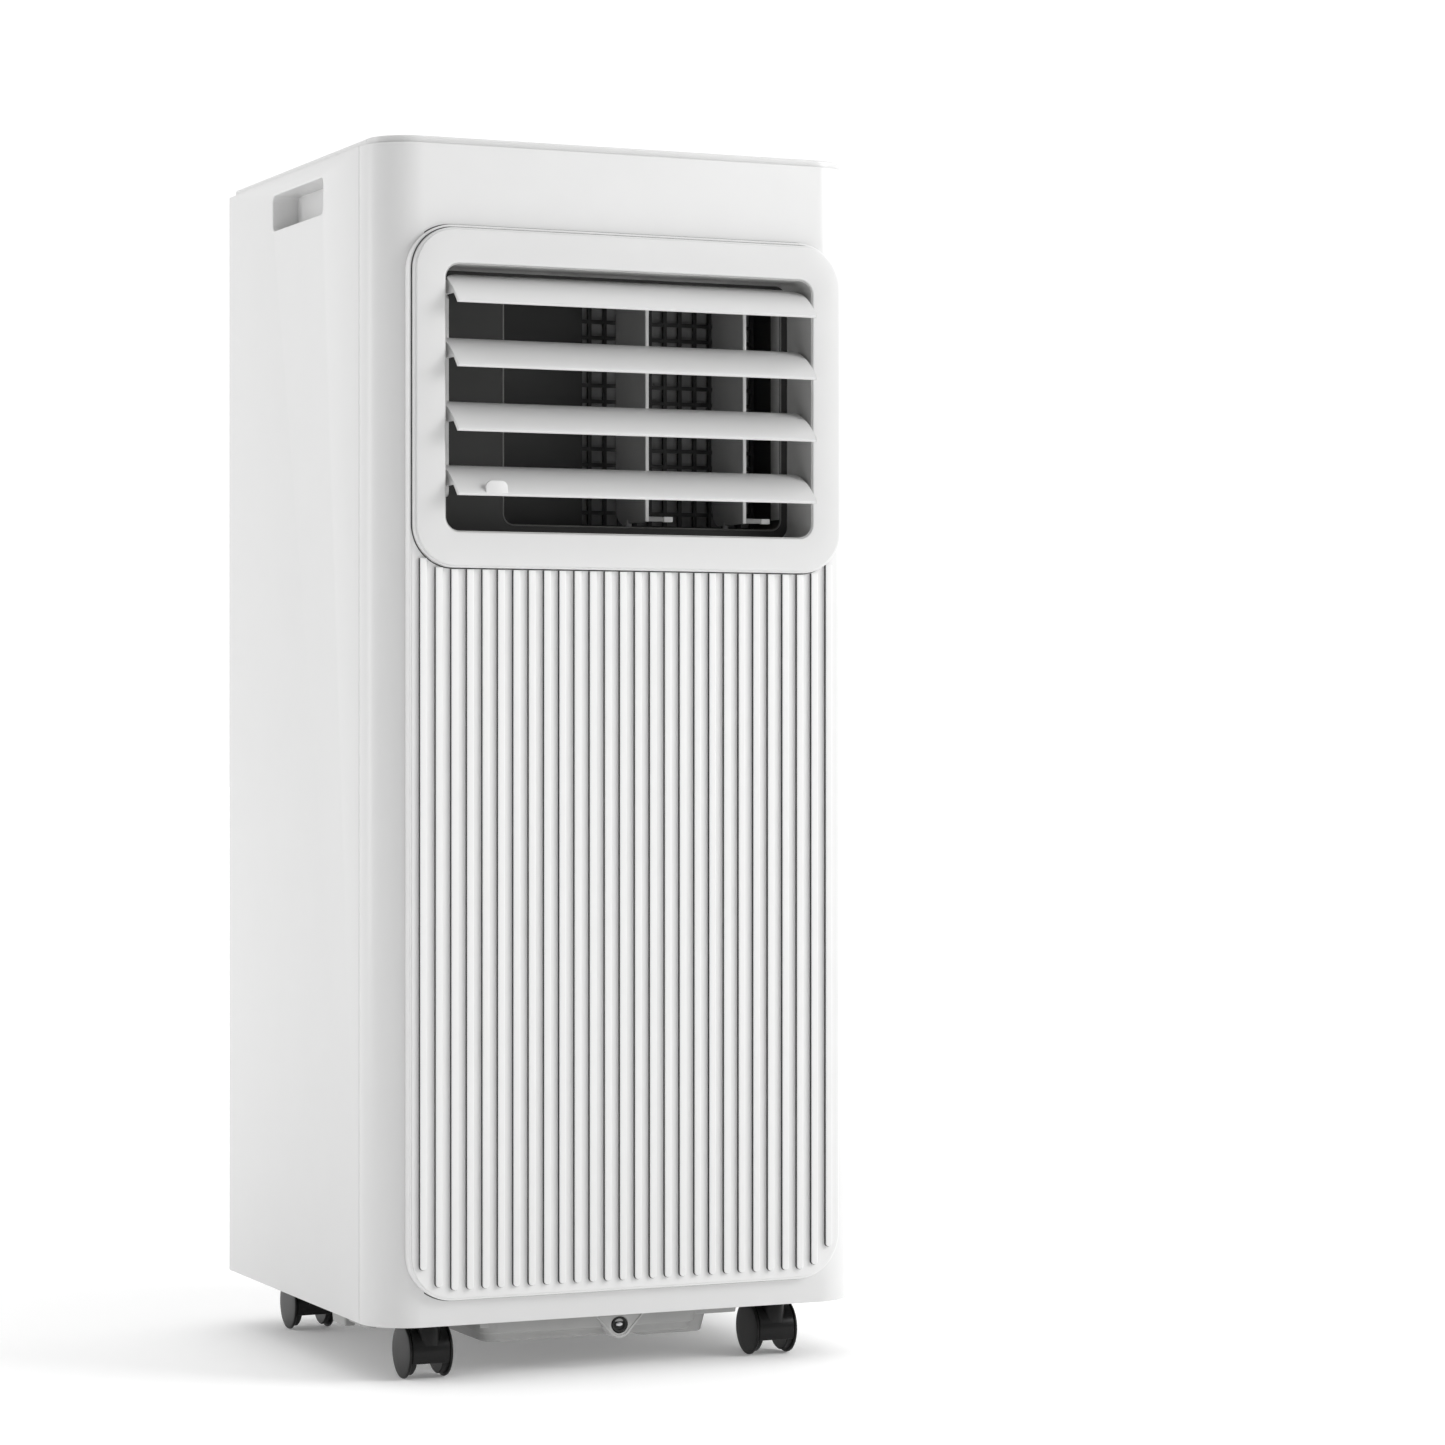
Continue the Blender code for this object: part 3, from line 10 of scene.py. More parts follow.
import bmesh
import bpy
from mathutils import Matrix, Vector


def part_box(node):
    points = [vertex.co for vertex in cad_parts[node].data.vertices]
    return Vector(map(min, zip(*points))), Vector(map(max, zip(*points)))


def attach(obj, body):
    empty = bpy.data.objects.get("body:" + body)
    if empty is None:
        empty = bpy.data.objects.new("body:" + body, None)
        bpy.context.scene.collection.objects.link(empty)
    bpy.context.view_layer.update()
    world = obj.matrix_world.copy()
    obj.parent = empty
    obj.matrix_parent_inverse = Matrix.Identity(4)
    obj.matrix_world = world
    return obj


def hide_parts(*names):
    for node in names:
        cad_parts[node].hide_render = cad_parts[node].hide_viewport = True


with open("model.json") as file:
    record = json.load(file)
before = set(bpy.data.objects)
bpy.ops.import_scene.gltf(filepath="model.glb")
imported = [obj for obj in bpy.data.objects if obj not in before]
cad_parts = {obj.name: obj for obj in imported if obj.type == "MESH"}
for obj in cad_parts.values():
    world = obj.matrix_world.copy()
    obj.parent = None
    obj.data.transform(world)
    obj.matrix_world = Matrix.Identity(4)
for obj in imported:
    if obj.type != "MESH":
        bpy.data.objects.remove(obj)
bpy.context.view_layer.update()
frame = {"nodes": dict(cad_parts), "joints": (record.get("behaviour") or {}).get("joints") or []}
MM = 0.001

SHELL_LOW, SHELL_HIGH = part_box("front_shell")
HALF = SHELL_HIGH.x
FRONT_Y = SHELL_LOW.y
BASE_Z = SHELL_LOW.z
SHELL_HEIGHT = SHELL_HIGH.z - BASE_Z
BODY_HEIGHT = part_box("top_cover")[1].z - BASE_Z
BODY_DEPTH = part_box("rear_panel")[1].y - FRONT_Y
SEAM = SHELL_HIGH.y - FRONT_Y
WALL = 2.5 * MM
GAP = 0.3 * MM
SEAM_LINE = 0.6 * MM
CLEARANCE = 0.4 * MM
OVER = 0.01  # how far a cutter runs past what it cuts
CONTROL_RADIUS = 6 * MM
KEY_RADIUS = 3 * MM
WINDOW_RADIUS = 2 * MM
FRONT_RADIUS = 28 * MM
REAR_RADIUS = 8 * MM
CAP_INSET = 4 * MM
AXES = {"X": 0, "Y": 1, "Z": 2}
PLANES = {"X": (1, 2), "Y": (0, 2), "Z": (0, 1)}


def back(depth):
    return FRONT_Y + depth


def up(height):
    return BASE_Z + height


# Materials: procedural, scaled in metres through object coordinates


def socket(node, name, value):
    node.inputs[name].default_value = value


def add(tree, kind, values):
    """A shader node with the values of its sockets."""
    node = tree.nodes.new("ShaderNode" + kind)
    for name, value in values.items():
        socket(node, name, value)
    return node


def wire(tree, source, output, target, name):
    tree.links.new(source.outputs[output], target.inputs[name])


def material(
    name, colour, rough, metal=0.0, vary=0.03, grain=1800, bump=0.02, spread=0.06, coat=0.0, shine=0.5
):
    """Plastic, rubber, paint or metal with a slight mottle, a moulded grain and uneven gloss."""
    made = bpy.data.materials.new(name)
    made.use_nodes = True
    tree = made.node_tree
    shader = tree.nodes["Principled BSDF"]
    socket(shader, "Metallic", metal)
    socket(shader, "Specular IOR Level", shine)
    socket(shader, "Coat Weight", coat)
    socket(shader, "Coat Roughness", 0.12)
    place = add(tree, "TexCoord", {})
    mottle = add(tree, "TexNoise", {"Scale": 35, "Detail": 3})
    wire(tree, place, "Object", mottle, "Vector")
    low = [max(c * (1 - vary), 0) for c in colour]
    high = [min(c * (1 + vary), 1) for c in colour]
    ramp = colour_ramp(tree, (0.3, low), (0.7, high))
    wire(tree, mottle, "Fac", ramp, "Fac")
    wire(tree, ramp, "Color", shader, "Base Color")
    fine = add(tree, "TexNoise", {"Scale": grain, "Detail": 2})
    wire(tree, place, "Object", fine, "Vector")
    relief = add(tree, "Bump", {"Strength": bump, "Distance": 0.0002})
    wire(tree, fine, "Fac", relief, "Height")
    wire(tree, relief, "Normal", shader, "Normal")
    gloss = add(tree, "MapRange", {"To Min": max(rough - spread, 0.02), "To Max": min(rough + spread, 1)})
    wire(tree, mottle, "Fac", gloss, "Value")
    wire(tree, gloss, "Result", shader, "Roughness")
    return made


def colour_ramp(tree, *stops):
    ramp = add(tree, "ValToRGB", {})
    for element, (position, colour) in zip(ramp.color_ramp.elements, stops):
        element.position = position
        element.color = (*colour, 1)
    return ramp


def striped(made, axis, pitch, dark, light, strength):
    """Adds fins or weave across the axis: bands of colour and relief, the low bands painted dark as shade in
    the gaps.
    """
    tree = made.node_tree
    shader = tree.nodes["Principled BSDF"]
    place = add(tree, "TexCoord", {})
    wave = add(tree, "TexWave", {"Scale": math.pi / (10 * pitch)})
    wave.bands_direction = axis
    wire(tree, place, "Object", wave, "Vector")
    # Painted shade: the low bands, where the relief dips between fins or wires, take the dark colour.
    ramp = colour_ramp(tree, (0, dark), (1, light))
    wire(tree, wave, "Fac", ramp, "Fac")
    wire(tree, ramp, "Color", shader, "Base Color")
    relief = add(tree, "Bump", {"Strength": strength, "Distance": 0.0006})
    wire(tree, wave, "Fac", relief, "Height")
    wire(tree, relief, "Normal", shader, "Normal")
    return made


WHITE = material(
    "white_abs", (0.69, 0.69, 0.688), 0.31, vary=0.006, grain=2600, bump=0.012, spread=0.02
)
GLOSS_WHITE = material(
    "white_abs_fine", (0.65, 0.65, 0.648), 0.30, vary=0.006, grain=2600, bump=0.008, spread=0.015
)
# Painted light: the ribbed panel's white is a lighter copy of the white ABS, to offset the shade its ribs
# cast on it.
PANEL_WHITE = material(
    "white_abs_panel_lightened", (0.76, 0.76, 0.758), 0.36, vary=0.006, grain=2600, bump=0.012, spread=0.02
)
# Painted shade: a near-black for the ribs' left flanks and for the thin contact-shadow rings round the raised
# panel and bezel.
SHADOW_LINE = material("painted_shade_line", (0.035, 0.035, 0.036), 0.6, vary=0.05, bump=0.03)
BASE_GREY = material("base_pp", (0.36, 0.36, 0.355), 0.5, vary=0.05, bump=0.06)
LINER = material("liner_grey", (0.44, 0.44, 0.435), 0.42, vary=0.05, bump=0.03)
DUCT = material("duct_black", (0.022, 0.022, 0.021), 0.45, vary=0.08, bump=0.04)
GRILLE = material("grille_black", (0.004, 0.004, 0.004), 0.5, vary=0.1, bump=0.03)
# Painted shade: a dim grey for a sheet behind the grille, standing in for the shaded inside of the unit seen
# through it.
DIM = material("grille_backing_painted_shade", (0.15, 0.15, 0.15), 0.7, vary=0.2, grain=900, bump=0.05)
# Partly painted highlight: the duct mouth's real rolled rim is a lighter grey than the black duct, so it
# shows as a light edge line.
EDGE_GREY = material("duct_mouth_rim_highlight", (0.16, 0.16, 0.155), 0.35, vary=0.05)
# Painted light: a mid grey laid on the black duct's right wall, standing in for the light that falls on that
# wall.
PAINTED_WALL_LIGHT = material("duct_wall_painted_light", (0.42, 0.42, 0.415), 0.4, vary=0.04)
# Painted shade: the vanes are white plastic; this grey stands in for the shade they sit in inside the duct.
VANE_GREY = material("vane_painted_shade", (0.27, 0.27, 0.27), 0.45, vary=0.04)
CASTER = material(
    "caster_nylon", (0.007, 0.007, 0.007), 0.30, vary=0.12, grain=1500, bump=0.05, shine=0.22
)
TREAD = material(
    "wheel_tread_pu", (0.007, 0.007, 0.007), 0.5, vary=0.15, grain=900, bump=0.12, shine=0.3
)
RUBBER = material("rubber_black", (0.010, 0.010, 0.010), 0.7, vary=0.15, bump=0.08)
BUTTON = material("button_grey", (0.58, 0.58, 0.575), 0.4, vary=0.02, bump=0.04)
GLASS = material(
    "display_black", (0.006, 0.006, 0.008), 0.08, vary=0.1, bump=0.004, spread=0.02, coat=0.6
)
ICON = material("icon_grey", (0.10, 0.10, 0.11), 0.5, vary=0.05)
LENS = material("indicator_lens", (0.12, 0.45, 0.50), 0.3, vary=0.05)
STEEL = material("zinc_steel", (0.55, 0.55, 0.56), 0.32, metal=1.0, vary=0.06, grain=900, bump=0.05)
ENAMEL = material("black_enamel", (0.018, 0.018, 0.020), 0.35, vary=0.15, grain=500, bump=0.08, coat=0.2)
COPPER = material("copper_tube", (0.72, 0.36, 0.22), 0.28, metal=1.0, vary=0.12, grain=700, bump=0.04)
FOAM = material("black_foam", (0.035, 0.035, 0.036), 0.85, vary=0.25, grain=420, bump=0.35)
FAN = material("fan_abs", (0.30, 0.32, 0.34), 0.45, vary=0.05, bump=0.05)
FINS = striped(
    material("coil_fins", (0.7, 0.7, 0.7), 0.35, metal=1.0),
    "X", 1.6 * MM, (0.10, 0.10, 0.105), (0.70, 0.71, 0.73), 0.9,
)
MESH = striped(
    material("filter_mesh", (0.3, 0.3, 0.3), 0.6),
    "X", 1.2 * MM, (0.05, 0.05, 0.055), (0.30, 0.30, 0.31), 0.6,
)


# Shapes


def arc(centre, radius, start, end, steps):
    angles = [math.radians(start + (end - start) * i / steps) for i in range(steps + 1)]
    return [(centre[0] + radius * math.cos(a), centre[1] + radius * math.sin(a)) for a in angles]


def quarter(steps):
    """The cosine and sine of even steps through a right angle, for eased edges."""
    angles = [math.radians(90 / steps * i) for i in range(steps + 1)]
    return [(math.cos(a), math.sin(a)) for a in angles]


def rounded(low, high, radii, steps=12):
    """A rectangle with rounded corners, from the low one counter-clockwise."""
    if not isinstance(radii, tuple):
        radii = (radii,) * 4
    corners = ((low[0], low[1]), (high[0], low[1]), (high[0], high[1]), (low[0], high[1]))
    inward = ((1, 1), (-1, 1), (-1, -1), (1, -1))
    points = []
    for i, (corner, side, radius) in enumerate(zip(corners, inward, radii)):
        centre = (corner[0] + side[0] * radius, corner[1] + side[1] * radius)
        points += arc(centre, max(radius, 1e-6), 180 + 90 * i, 270 + 90 * i, steps)
    return points


def inset(low, high, radii, by, steps=12):
    """The same rounded rectangle drawn in by a distance, or out by a negative one."""
    if not isinstance(radii, tuple):
        radii = (radii,) * 4
    low = (low[0] + by, low[1] + by)
    high = (high[0] - by, high[1] - by)
    return rounded(low, high, tuple(max(r - by, 0.0001) for r in radii), steps)


def plan(low, high, radius, by, steps=12):
    """A box seen from above, with round corners, drawn in by a distance."""
    return inset((low.x, low.y), (high.x, high.y), radius, by, steps)


def turn(a, b, c):
    return (b[0] - a[0]) * (c[1] - a[1]) - (b[1] - a[1]) * (c[0] - a[0])


def hull(points):
    points = sorted(set(points))
    outline = []
    for row in (points, points[::-1]):
        chain = []
        for point in row:
            while len(chain) > 1 and turn(chain[-2], chain[-1], point) <= 0:
                chain.pop()
            chain.append(point)
        outline += chain[:-1]
    return outline


def from_shape(name, shape, finish, angle=35):
    bmesh.ops.recalc_face_normals(shape, faces=shape.faces)
    mesh = bpy.data.meshes.new(name)
    shape.to_mesh(mesh)
    shape.free()
    mesh.materials.append(finish)
    made = bpy.data.objects.new(name, mesh)
    bpy.context.scene.collection.objects.link(made)
    smooth(made, angle)
    return made


def smooth(obj, angle=35):
    obj.data.shade_smooth()
    obj.data.set_sharp_from_angle(angle=math.radians(angle))


def loft(name, rings, axis, finish, closed=False, angle=35):
    """Skins equal outlines placed along an axis; capped at both ends, or joined in a loop."""
    shape = bmesh.new()
    made = []
    for outline, along in rings:
        ring = []
        for point in outline:
            place = [0, 0, 0]
            place[AXES[axis]] = along
            place[PLANES[axis][0]], place[PLANES[axis][1]] = point
            ring.append(shape.verts.new(place))
        made.append(ring)
    pairs = list(zip(made, made[1:])) + ([(made[-1], made[0])] if closed else [])
    for first, second in pairs:
        for i in range(len(first)):
            j = (i + 1) % len(first)
            shape.faces.new((first[i], first[j], second[j], second[i]))
    if not closed:
        shape.faces.new(made[0])
        shape.faces.new(made[-1])
    return from_shape(name, shape, finish, angle)


def band(outer, inner, start, end):
    """The four rings of a wall between two outlines."""
    return [(outer, start), (outer, end), (inner, end), (inner, start)]


def prism(name, outline, axis, start, end, finish):
    return loft(name, [(outline, start), (outline, end)], axis, finish)


def block(name, low, high, finish):
    outline = [(low[0], low[1]), (high[0], low[1]), (high[0], high[1]), (low[0], high[1])]
    return prism(name, outline, "Z", low[2], high[2], finish)


def lathe(name, profile, axis, centre, finish, steps=48, angle=35):
    """A closed profile of (radius, along) points turned about the axis."""
    shape = bmesh.new()
    across = PLANES[axis]
    rings = []
    for radius, along in profile:
        ring = []
        for i in range(steps if radius > 0 else 1):
            turned = 2 * math.pi * i / steps
            place = list(centre)
            place[AXES[axis]] += along
            place[across[0]] += radius * math.cos(turned)
            place[across[1]] += radius * math.sin(turned)
            ring.append(shape.verts.new(place))
        rings.append(ring)
    for first, second in zip(rings, rings[1:] + rings[:1]):
        for i in range(steps):
            j = (i + 1) % steps
            corners = [first[i % len(first)], first[j % len(first)]]
            corners += [second[j % len(second)], second[i % len(second)]]
            corners = list(dict.fromkeys(corners))
            if len(corners) > 2:
                shape.faces.new(corners)
    return from_shape(name, shape, finish, angle)


def rod(name, axis, centre, radius, start, end, finish, steps=32):
    profile = [(0, start), (radius, start), (radius, end), (0, end)]
    return lathe(name, profile, axis, centre, finish, steps)


def settle(obj, angle=35):
    """Applies an object's modifiers."""
    bpy.context.view_layer.update()
    graph = bpy.context.evaluated_depsgraph_get()
    mesh = bpy.data.meshes.new_from_object(obj.evaluated_get(graph))
    obj.modifiers.clear()
    obj.data = mesh
    smooth(obj, angle)
    return obj


def combine(target, tools, operation):
    for tool in tools:
        modifier = target.modifiers.new(tool.name, "BOOLEAN")
        modifier.operation = operation
        modifier.solver = "EXACT"
        modifier.object = tool
    settle(target)
    for tool in tools:
        bpy.data.objects.remove(tool)
    return target


def cut(target, *tools):
    return combine(target, tools, "DIFFERENCE")


def fuse(target, *tools):
    return combine(target, tools, "UNION")


def ease_edges(obj, width, segments, angle):
    """Modifiers that round the sharp edges."""
    weld = obj.modifiers.new("weld", "WELD")
    weld.merge_threshold = 0.00001
    bevel = obj.modifiers.new("bevel", "BEVEL")
    bevel.width = width
    bevel.segments = segments
    bevel.limit_method = "ANGLE"
    bevel.angle_limit = math.radians(angle)


def soften(obj, width, segments=3, angle=40):
    """Rounds the sharp edges for good."""
    ease_edges(obj, width, segments, angle)
    return settle(obj)


def gather(name, objects):
    """Several shapes as one piece."""
    shape = bmesh.new()
    finishes = []
    for obj in objects:
        start = len(shape.faces)
        shape.from_mesh(obj.data)
        shape.faces.ensure_lookup_table()
        own = [m for m in obj.data.materials]
        for m in own:
            if m not in finishes:
                finishes.append(m)
        for face in shape.faces[start:]:
            face.material_index = finishes.index(own[face.material_index])
    mesh = bpy.data.meshes.new(name)
    shape.to_mesh(mesh)
    shape.free()
    for m in finishes:
        mesh.materials.append(m)
    for obj in objects:
        bpy.data.objects.remove(obj)
    made = bpy.data.objects.new(name, mesh)
    bpy.context.scene.collection.objects.link(made)
    smooth(made)
    return made


def joint_place(name):
    return next(j for j in frame["joints"] if j["name"] == name)["pos_m"]


def stands_for(obj, body, slot, *nodes):
    """Says which body a piece moves with and which nodes it replaces; the slot argument, for its finish, is
    not used.
    """
    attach(obj, body)
    if nodes:
        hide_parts(*nodes)
    return obj


def assemble(parts, node, slot, body="cabinet"):
    """Gathers shapes into the piece that stands for a node."""
    stands_for(gather(node + "_skin", parts), body, slot, node)


# Cabinet


def cabinet_plan(inwards, by):
    """The cabinet's outline from above at a distance inwards, then drawn in a little more."""
    low = (inwards - HALF, back(inwards))
    high = (HALF - inwards, back(BODY_DEPTH - inwards))
    radii = (FRONT_RADIUS - inwards,) * 2 + (REAR_RADIUS - inwards,) * 2
    return inset(low, high, radii, by)


BEZEL_LOW, BEZEL_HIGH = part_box("outlet_bezel")
BEZEL_FACE = BEZEL_LOW.y
PANEL_LOW, PANEL_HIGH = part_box("ribbed_panel")
PANEL_PROUD = 5 * MM
PANEL_FACE = back(-PANEL_PROUD)
OPEN_LOW = (BEZEL_LOW.x + 18.5 * MM, BEZEL_LOW.z + 20.5 * MM)
OPEN_HIGH = (-OPEN_LOW[0], BEZEL_HIGH.z - 20.5 * MM)
OPEN_RADIUS = 8 * MM
LINER_WALL = 2 * MM
RECESS_Y = BEZEL_HIGH.y


def opening(grow, steps=12):
    return inset(OPEN_LOW, OPEN_HIGH, OPEN_RADIUS, -grow, steps)


def front_shell():
    steps = 28
    outer = [(-HALF, back(SEAM))]
    outer += arc((FRONT_RADIUS - HALF, back(FRONT_RADIUS)), FRONT_RADIUS, 180, 270, steps)
    outer += arc((HALF - FRONT_RADIUS, back(FRONT_RADIUS)), FRONT_RADIUS, 270, 360, steps)
    outer.append((HALF, back(SEAM)))
    inner_radius = FRONT_RADIUS - WALL
    inner = [(HALF - WALL, back(SEAM))]
    inner += arc((HALF - FRONT_RADIUS, back(FRONT_RADIUS)), inner_radius, 360, 270, steps)
    inner += arc((FRONT_RADIUS - HALF, back(FRONT_RADIUS)), inner_radius, 270, 180, steps)
    inner.append((WALL - HALF, back(SEAM)))
    skin = prism("front_shell_skin", outer + inner, "Z", up(0), up(SHELL_HEIGHT), WHITE)
    soften(skin, 0.45 * MM, 3, 60)
    room = LINER_WALL + CLEARANCE
    cut(skin, prism("hole", opening(room), "Y", back(-OVER), back(OVER), WHITE))
    stands_for(skin, "cabinet", "white_plastic", "front_shell")


POCKET_Y = (93 * MM, 187 * MM)
POCKET_Z = (BODY_HEIGHT - 35 * MM, BODY_HEIGHT - 14 * MM)
POCKET_DEPTH = 16 * MM


def side_panel(name, side):
    centre = (HALF - REAR_RADIUS, back(BODY_DEPTH - REAR_RADIUS))
    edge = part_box("rear_panel")[1].x + GAP
    outline = [(HALF, back(SEAM + SEAM_LINE))]
    outline += arc(centre, REAR_RADIUS, 0, 90, 12)
    outline += [(edge, back(BODY_DEPTH)), (edge, back(BODY_DEPTH - WALL))]
    outline += arc(centre, REAR_RADIUS - WALL, 90, 0, 12)
    outline.append((HALF - WALL, back(SEAM + SEAM_LINE)))
    outline = [(side * x, y) for x, y in outline]
    skin = prism(name + "_skin", outline, "Z", up(0), up(SHELL_HEIGHT), WHITE)
    soften(skin, 0.4 * MM, 3, 60)
    low = (back(POCKET_Y[0]), up(POCKET_Z[0]))
    high = (back(POCKET_Y[1]), up(POCKET_Z[1]))
    floor_x = HALF - POCKET_DEPTH
    radius = 4 * MM
    cup = inset(low, high, radius, -2 * MM)
    fuse(skin, prism("cup", cup, "X", side * (floor_x - 2 * MM), side * (HALF - 1 * MM), WHITE))
    lip = 0.9 * MM
    rings = [(inset(low, high, radius, 0), side * floor_x)]
    for c, s in quarter(5):
        rings.append((inset(low, high, radius, -lip * (1 - c)), side * (HALF - lip + lip * s)))
    rings.append((inset(low, high, radius, -lip - 0.5 * MM), side * (HALF + 0.6 * MM)))
    cut(skin, loft("pocket", rings, "X", WHITE))
    stands_for(skin, "cabinet", "white_plastic", name)


def top_cover():
    bottom, top = up(SHELL_HEIGHT + GAP), up(BODY_HEIGHT)
    round_off = 1.3 * MM
    rings = [(cabinet_plan(CAP_INSET, 0), bottom)]
    for c, s in quarter(6):
        rings.append((cabinet_plan(CAP_INSET, round_off * (1 - c)), top - round_off + round_off * s))
    cover = loft("top_cover_skin", rings, "Z", WHITE)
    slit_low = (-HALF, back(28.5 * MM), top - 2.2 * MM)
    slit_high = (HALF, back(29.1 * MM), top + 0.001)
    slit = block("slit", slit_low, slit_high, WHITE)
    panel_low, panel_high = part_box("control_panel")
    margin = 3 * MM
    hole_low = (panel_low.x + margin, panel_low.y + margin)
    hole_high = (panel_high.x - margin, panel_high.y - margin)
    hole = inset(hole_low, hole_high, CONTROL_RADIUS, -CLEARANCE)
    cut(cover, slit, prism("hole", hole, "Z", up(SHELL_HEIGHT - OVER), up(BODY_HEIGHT + OVER), WHITE))
    outer, inner = (cabinet_plan(WALL + CLEARANCE, by) for by in (0, 2 * MM))
    low_z, high_z = up(SHELL_HEIGHT - 4 * MM), up(SHELL_HEIGHT + 0.8 * MM)
    skirt = loft("skirt", band(outer, inner, low_z, high_z), "Z", WHITE, closed=True)
    stands_for(gather("top_cover_piece", [cover, skirt]), "cabinet", "white_plastic", "top_cover")


# Ribbed panel

RIB_PITCH = 9.25 * MM
RIB_WIDTH = 4.3 * MM
RIB_TOP = PANEL_LOW.y
RIB_EDGE = 6 * MM
PANEL_RADIUS = 26 * MM
PANEL_HALF = PANEL_HIGH.x
BEZEL_RADIUS = 24 * MM


def corner_height(x, half, radius):
    over = min(max(abs(x) - (half - radius), 0), radius)
    return radius - math.sqrt(radius**2 - over**2)


def rib(x):
    """A bar with a round foot and eased top edges; its left flank and the lower left of its foot are painted
    dark as shade.
    """
    radius = RIB_WIDTH / 2
    edge = PANEL_RADIUS - RIB_EDGE
    foot = PANEL_LOW.z + RIB_EDGE + corner_height(x, PANEL_HALF - RIB_EDGE, edge) + radius
    inner = max(abs(x) - radius, 0)
    head = BEZEL_LOW.z - 0.8 * MM + corner_height(inner, BEZEL_HIGH.x, BEZEL_RADIUS)

    def outline(by):
        r = radius - by
        return arc((x, foot), r, 180, 360, 14) + [(x + r, head), (x - r, head)]

    ease = 0.75 * MM
    rings = [(outline(0), PANEL_FACE + 0.4 * MM)]
    for c, s in quarter(5):
        rings.append((outline(ease * (1 - c)), RIB_TOP + ease - ease * s))
    made = loft("rib", rings, "Y", PANEL_WHITE)
    made.data.materials.append(SHADOW_LINE)
    # Painted shade: faces turned to the left, or down and not to the right, take the dark material.
    for face in made.data.polygons:
        n = face.normal
        if abs(n.y) < 0.6 and (n.x < -0.35 or (n.z < -0.35 and n.x < 0.55)):
            face.material_index = 1
    return made


def dark_line(low, high, radius, by, start, end):
    """A painted contact shadow: a thin dark ring that shows as a line 0.6 mm wide round a raised plate."""
    inner, outer = (inset(low, high, radius, step, 20) for step in (by, -0.6 * MM))
    rings = [(inner, start), (outer, start), (outer, end), (inner, end)]
    return loft("contact_shadow_ring", rings, "Y", SHADOW_LINE, closed=True)


def ribbed_panel():
    low = (PANEL_LOW.x, PANEL_LOW.z)
    high = (PANEL_HALF, PANEL_HIGH.z)
    levels = [(0, back(4 * MM)), (0, PANEL_FACE + 1.3 * MM)]
    for c, s in quarter(5)[1:]:
        levels.append((0.9 * MM * (1 - c), PANEL_FACE + 1.3 * MM - 0.9 * MM * s))
    for by, rise in ((1.35, 0.45), (1.45, 0.12), (1.6, 0)):
        levels.append((by * MM, PANEL_FACE + rise * MM))
    rings = [(inset(low, high, PANEL_RADIUS, by, 20), y) for by, y in levels]
    plate = loft("plate", rings, "Y", PANEL_WHITE, angle=50)
    grow = FRONT_RADIUS + GAP
    envelope = rounded(
        (-HALF - GAP, back(-GAP)), (HALF + GAP, back(0.1)), (grow, grow, 0.0001, 0.0001), 28
    )
    tools = [prism("envelope", envelope, "Z", up(-OVER), up(BODY_HEIGHT + OVER), WHITE)]
    tools.append(prism("hole", opening(LINER_WALL + CLEARANCE), "Y", back(-0.02), back(OVER), WHITE))
    cut(plate, *tools)
    count = int(2 * (PANEL_HALF - RIB_EDGE) / RIB_PITCH) + 1
    first = -(count - 1) * RIB_PITCH / 2
    ribs = [rib(first + i * RIB_PITCH) for i in range(count)]
    # Painted shadow: a dark ring at the panel's foot, kept to the flat front, stands in for its contact
    # shadow on the shell.
    start, end = back(-0.25 * MM), back(0.1 * MM)
    contact_shadow_ring = dark_line(low, high, PANEL_RADIUS, 0.4 * MM, start, end)
    flat = HALF - FRONT_RADIUS
    ends = []
    for side in (-1, 1):
        end_low = (side * flat, start - OVER, up(-OVER))
        end_high = (side * 2 * HALF, end + OVER, up(BODY_HEIGHT))
        ends.append(block("end", end_low, end_high, WHITE))
    cut(contact_shadow_ring, *ends)
    assemble([plate, contact_shadow_ring, *ribs], "ribbed_panel", "panel_plastic")


# Outlet


def bezel():
    low = (BEZEL_LOW.x, BEZEL_LOW.z)
    high = (BEZEL_HIGH.x, BEZEL_HIGH.z)
    rear = PANEL_FACE - GAP
    face = BEZEL_FACE
    levels = [(0, rear), (0, face + 1.5 * MM)]
    for c, s in quarter(5)[1:]:
        levels.append((0.7 * MM * (1 - c), face + 1.5 * MM - 0.7 * MM * s))
    levels += [(1.0 * MM, face + 0.72 * MM), (1.12 * MM, face + 0.4 * MM)]
    for c, s in quarter(4)[1:]:
        levels.append((1.12 * MM + 0.4 * MM * (1 - c), face + 0.4 * MM - 0.4 * MM * s))
    rings = [(inset(low, high, BEZEL_RADIUS, by, 20), y) for by, y in levels]
    fillet = 0.9 * MM
    for c, s in quarter(5):
        rings.append((opening(0.6 * MM + fillet * (1 - s), 20), face + fillet * (1 - c)))
    rings.append((opening(0.6 * MM, 20), rear))
    plate = loft("plate", rings, "Y", GLOSS_WHITE, closed=True, angle=50)
    start, end = face + fillet, RECESS_Y
    inner, outer = opening(0, 20), opening(0.5 * MM, 20)
    wall = opening(LINER_WALL, 20)
    step = rear + 1 * MM
    rings = [(inner, start), (inner, end), (wall, end), (wall, step), (outer, step), (outer, start)]
    liner = loft("liner", rings, "Y", LINER, closed=True)
    # Painted shadow: a dark ring round the bezel's foot stands in for its contact shadow on the panel.
    contact_shadow_ring = dark_line(low, high, BEZEL_RADIUS, -0.1 * MM, PANEL_FACE - 0.3 * MM, PANEL_FACE + 0.1 * MM)
    assemble([plate, liner, contact_shadow_ring], "outlet_bezel", "white_plastic")


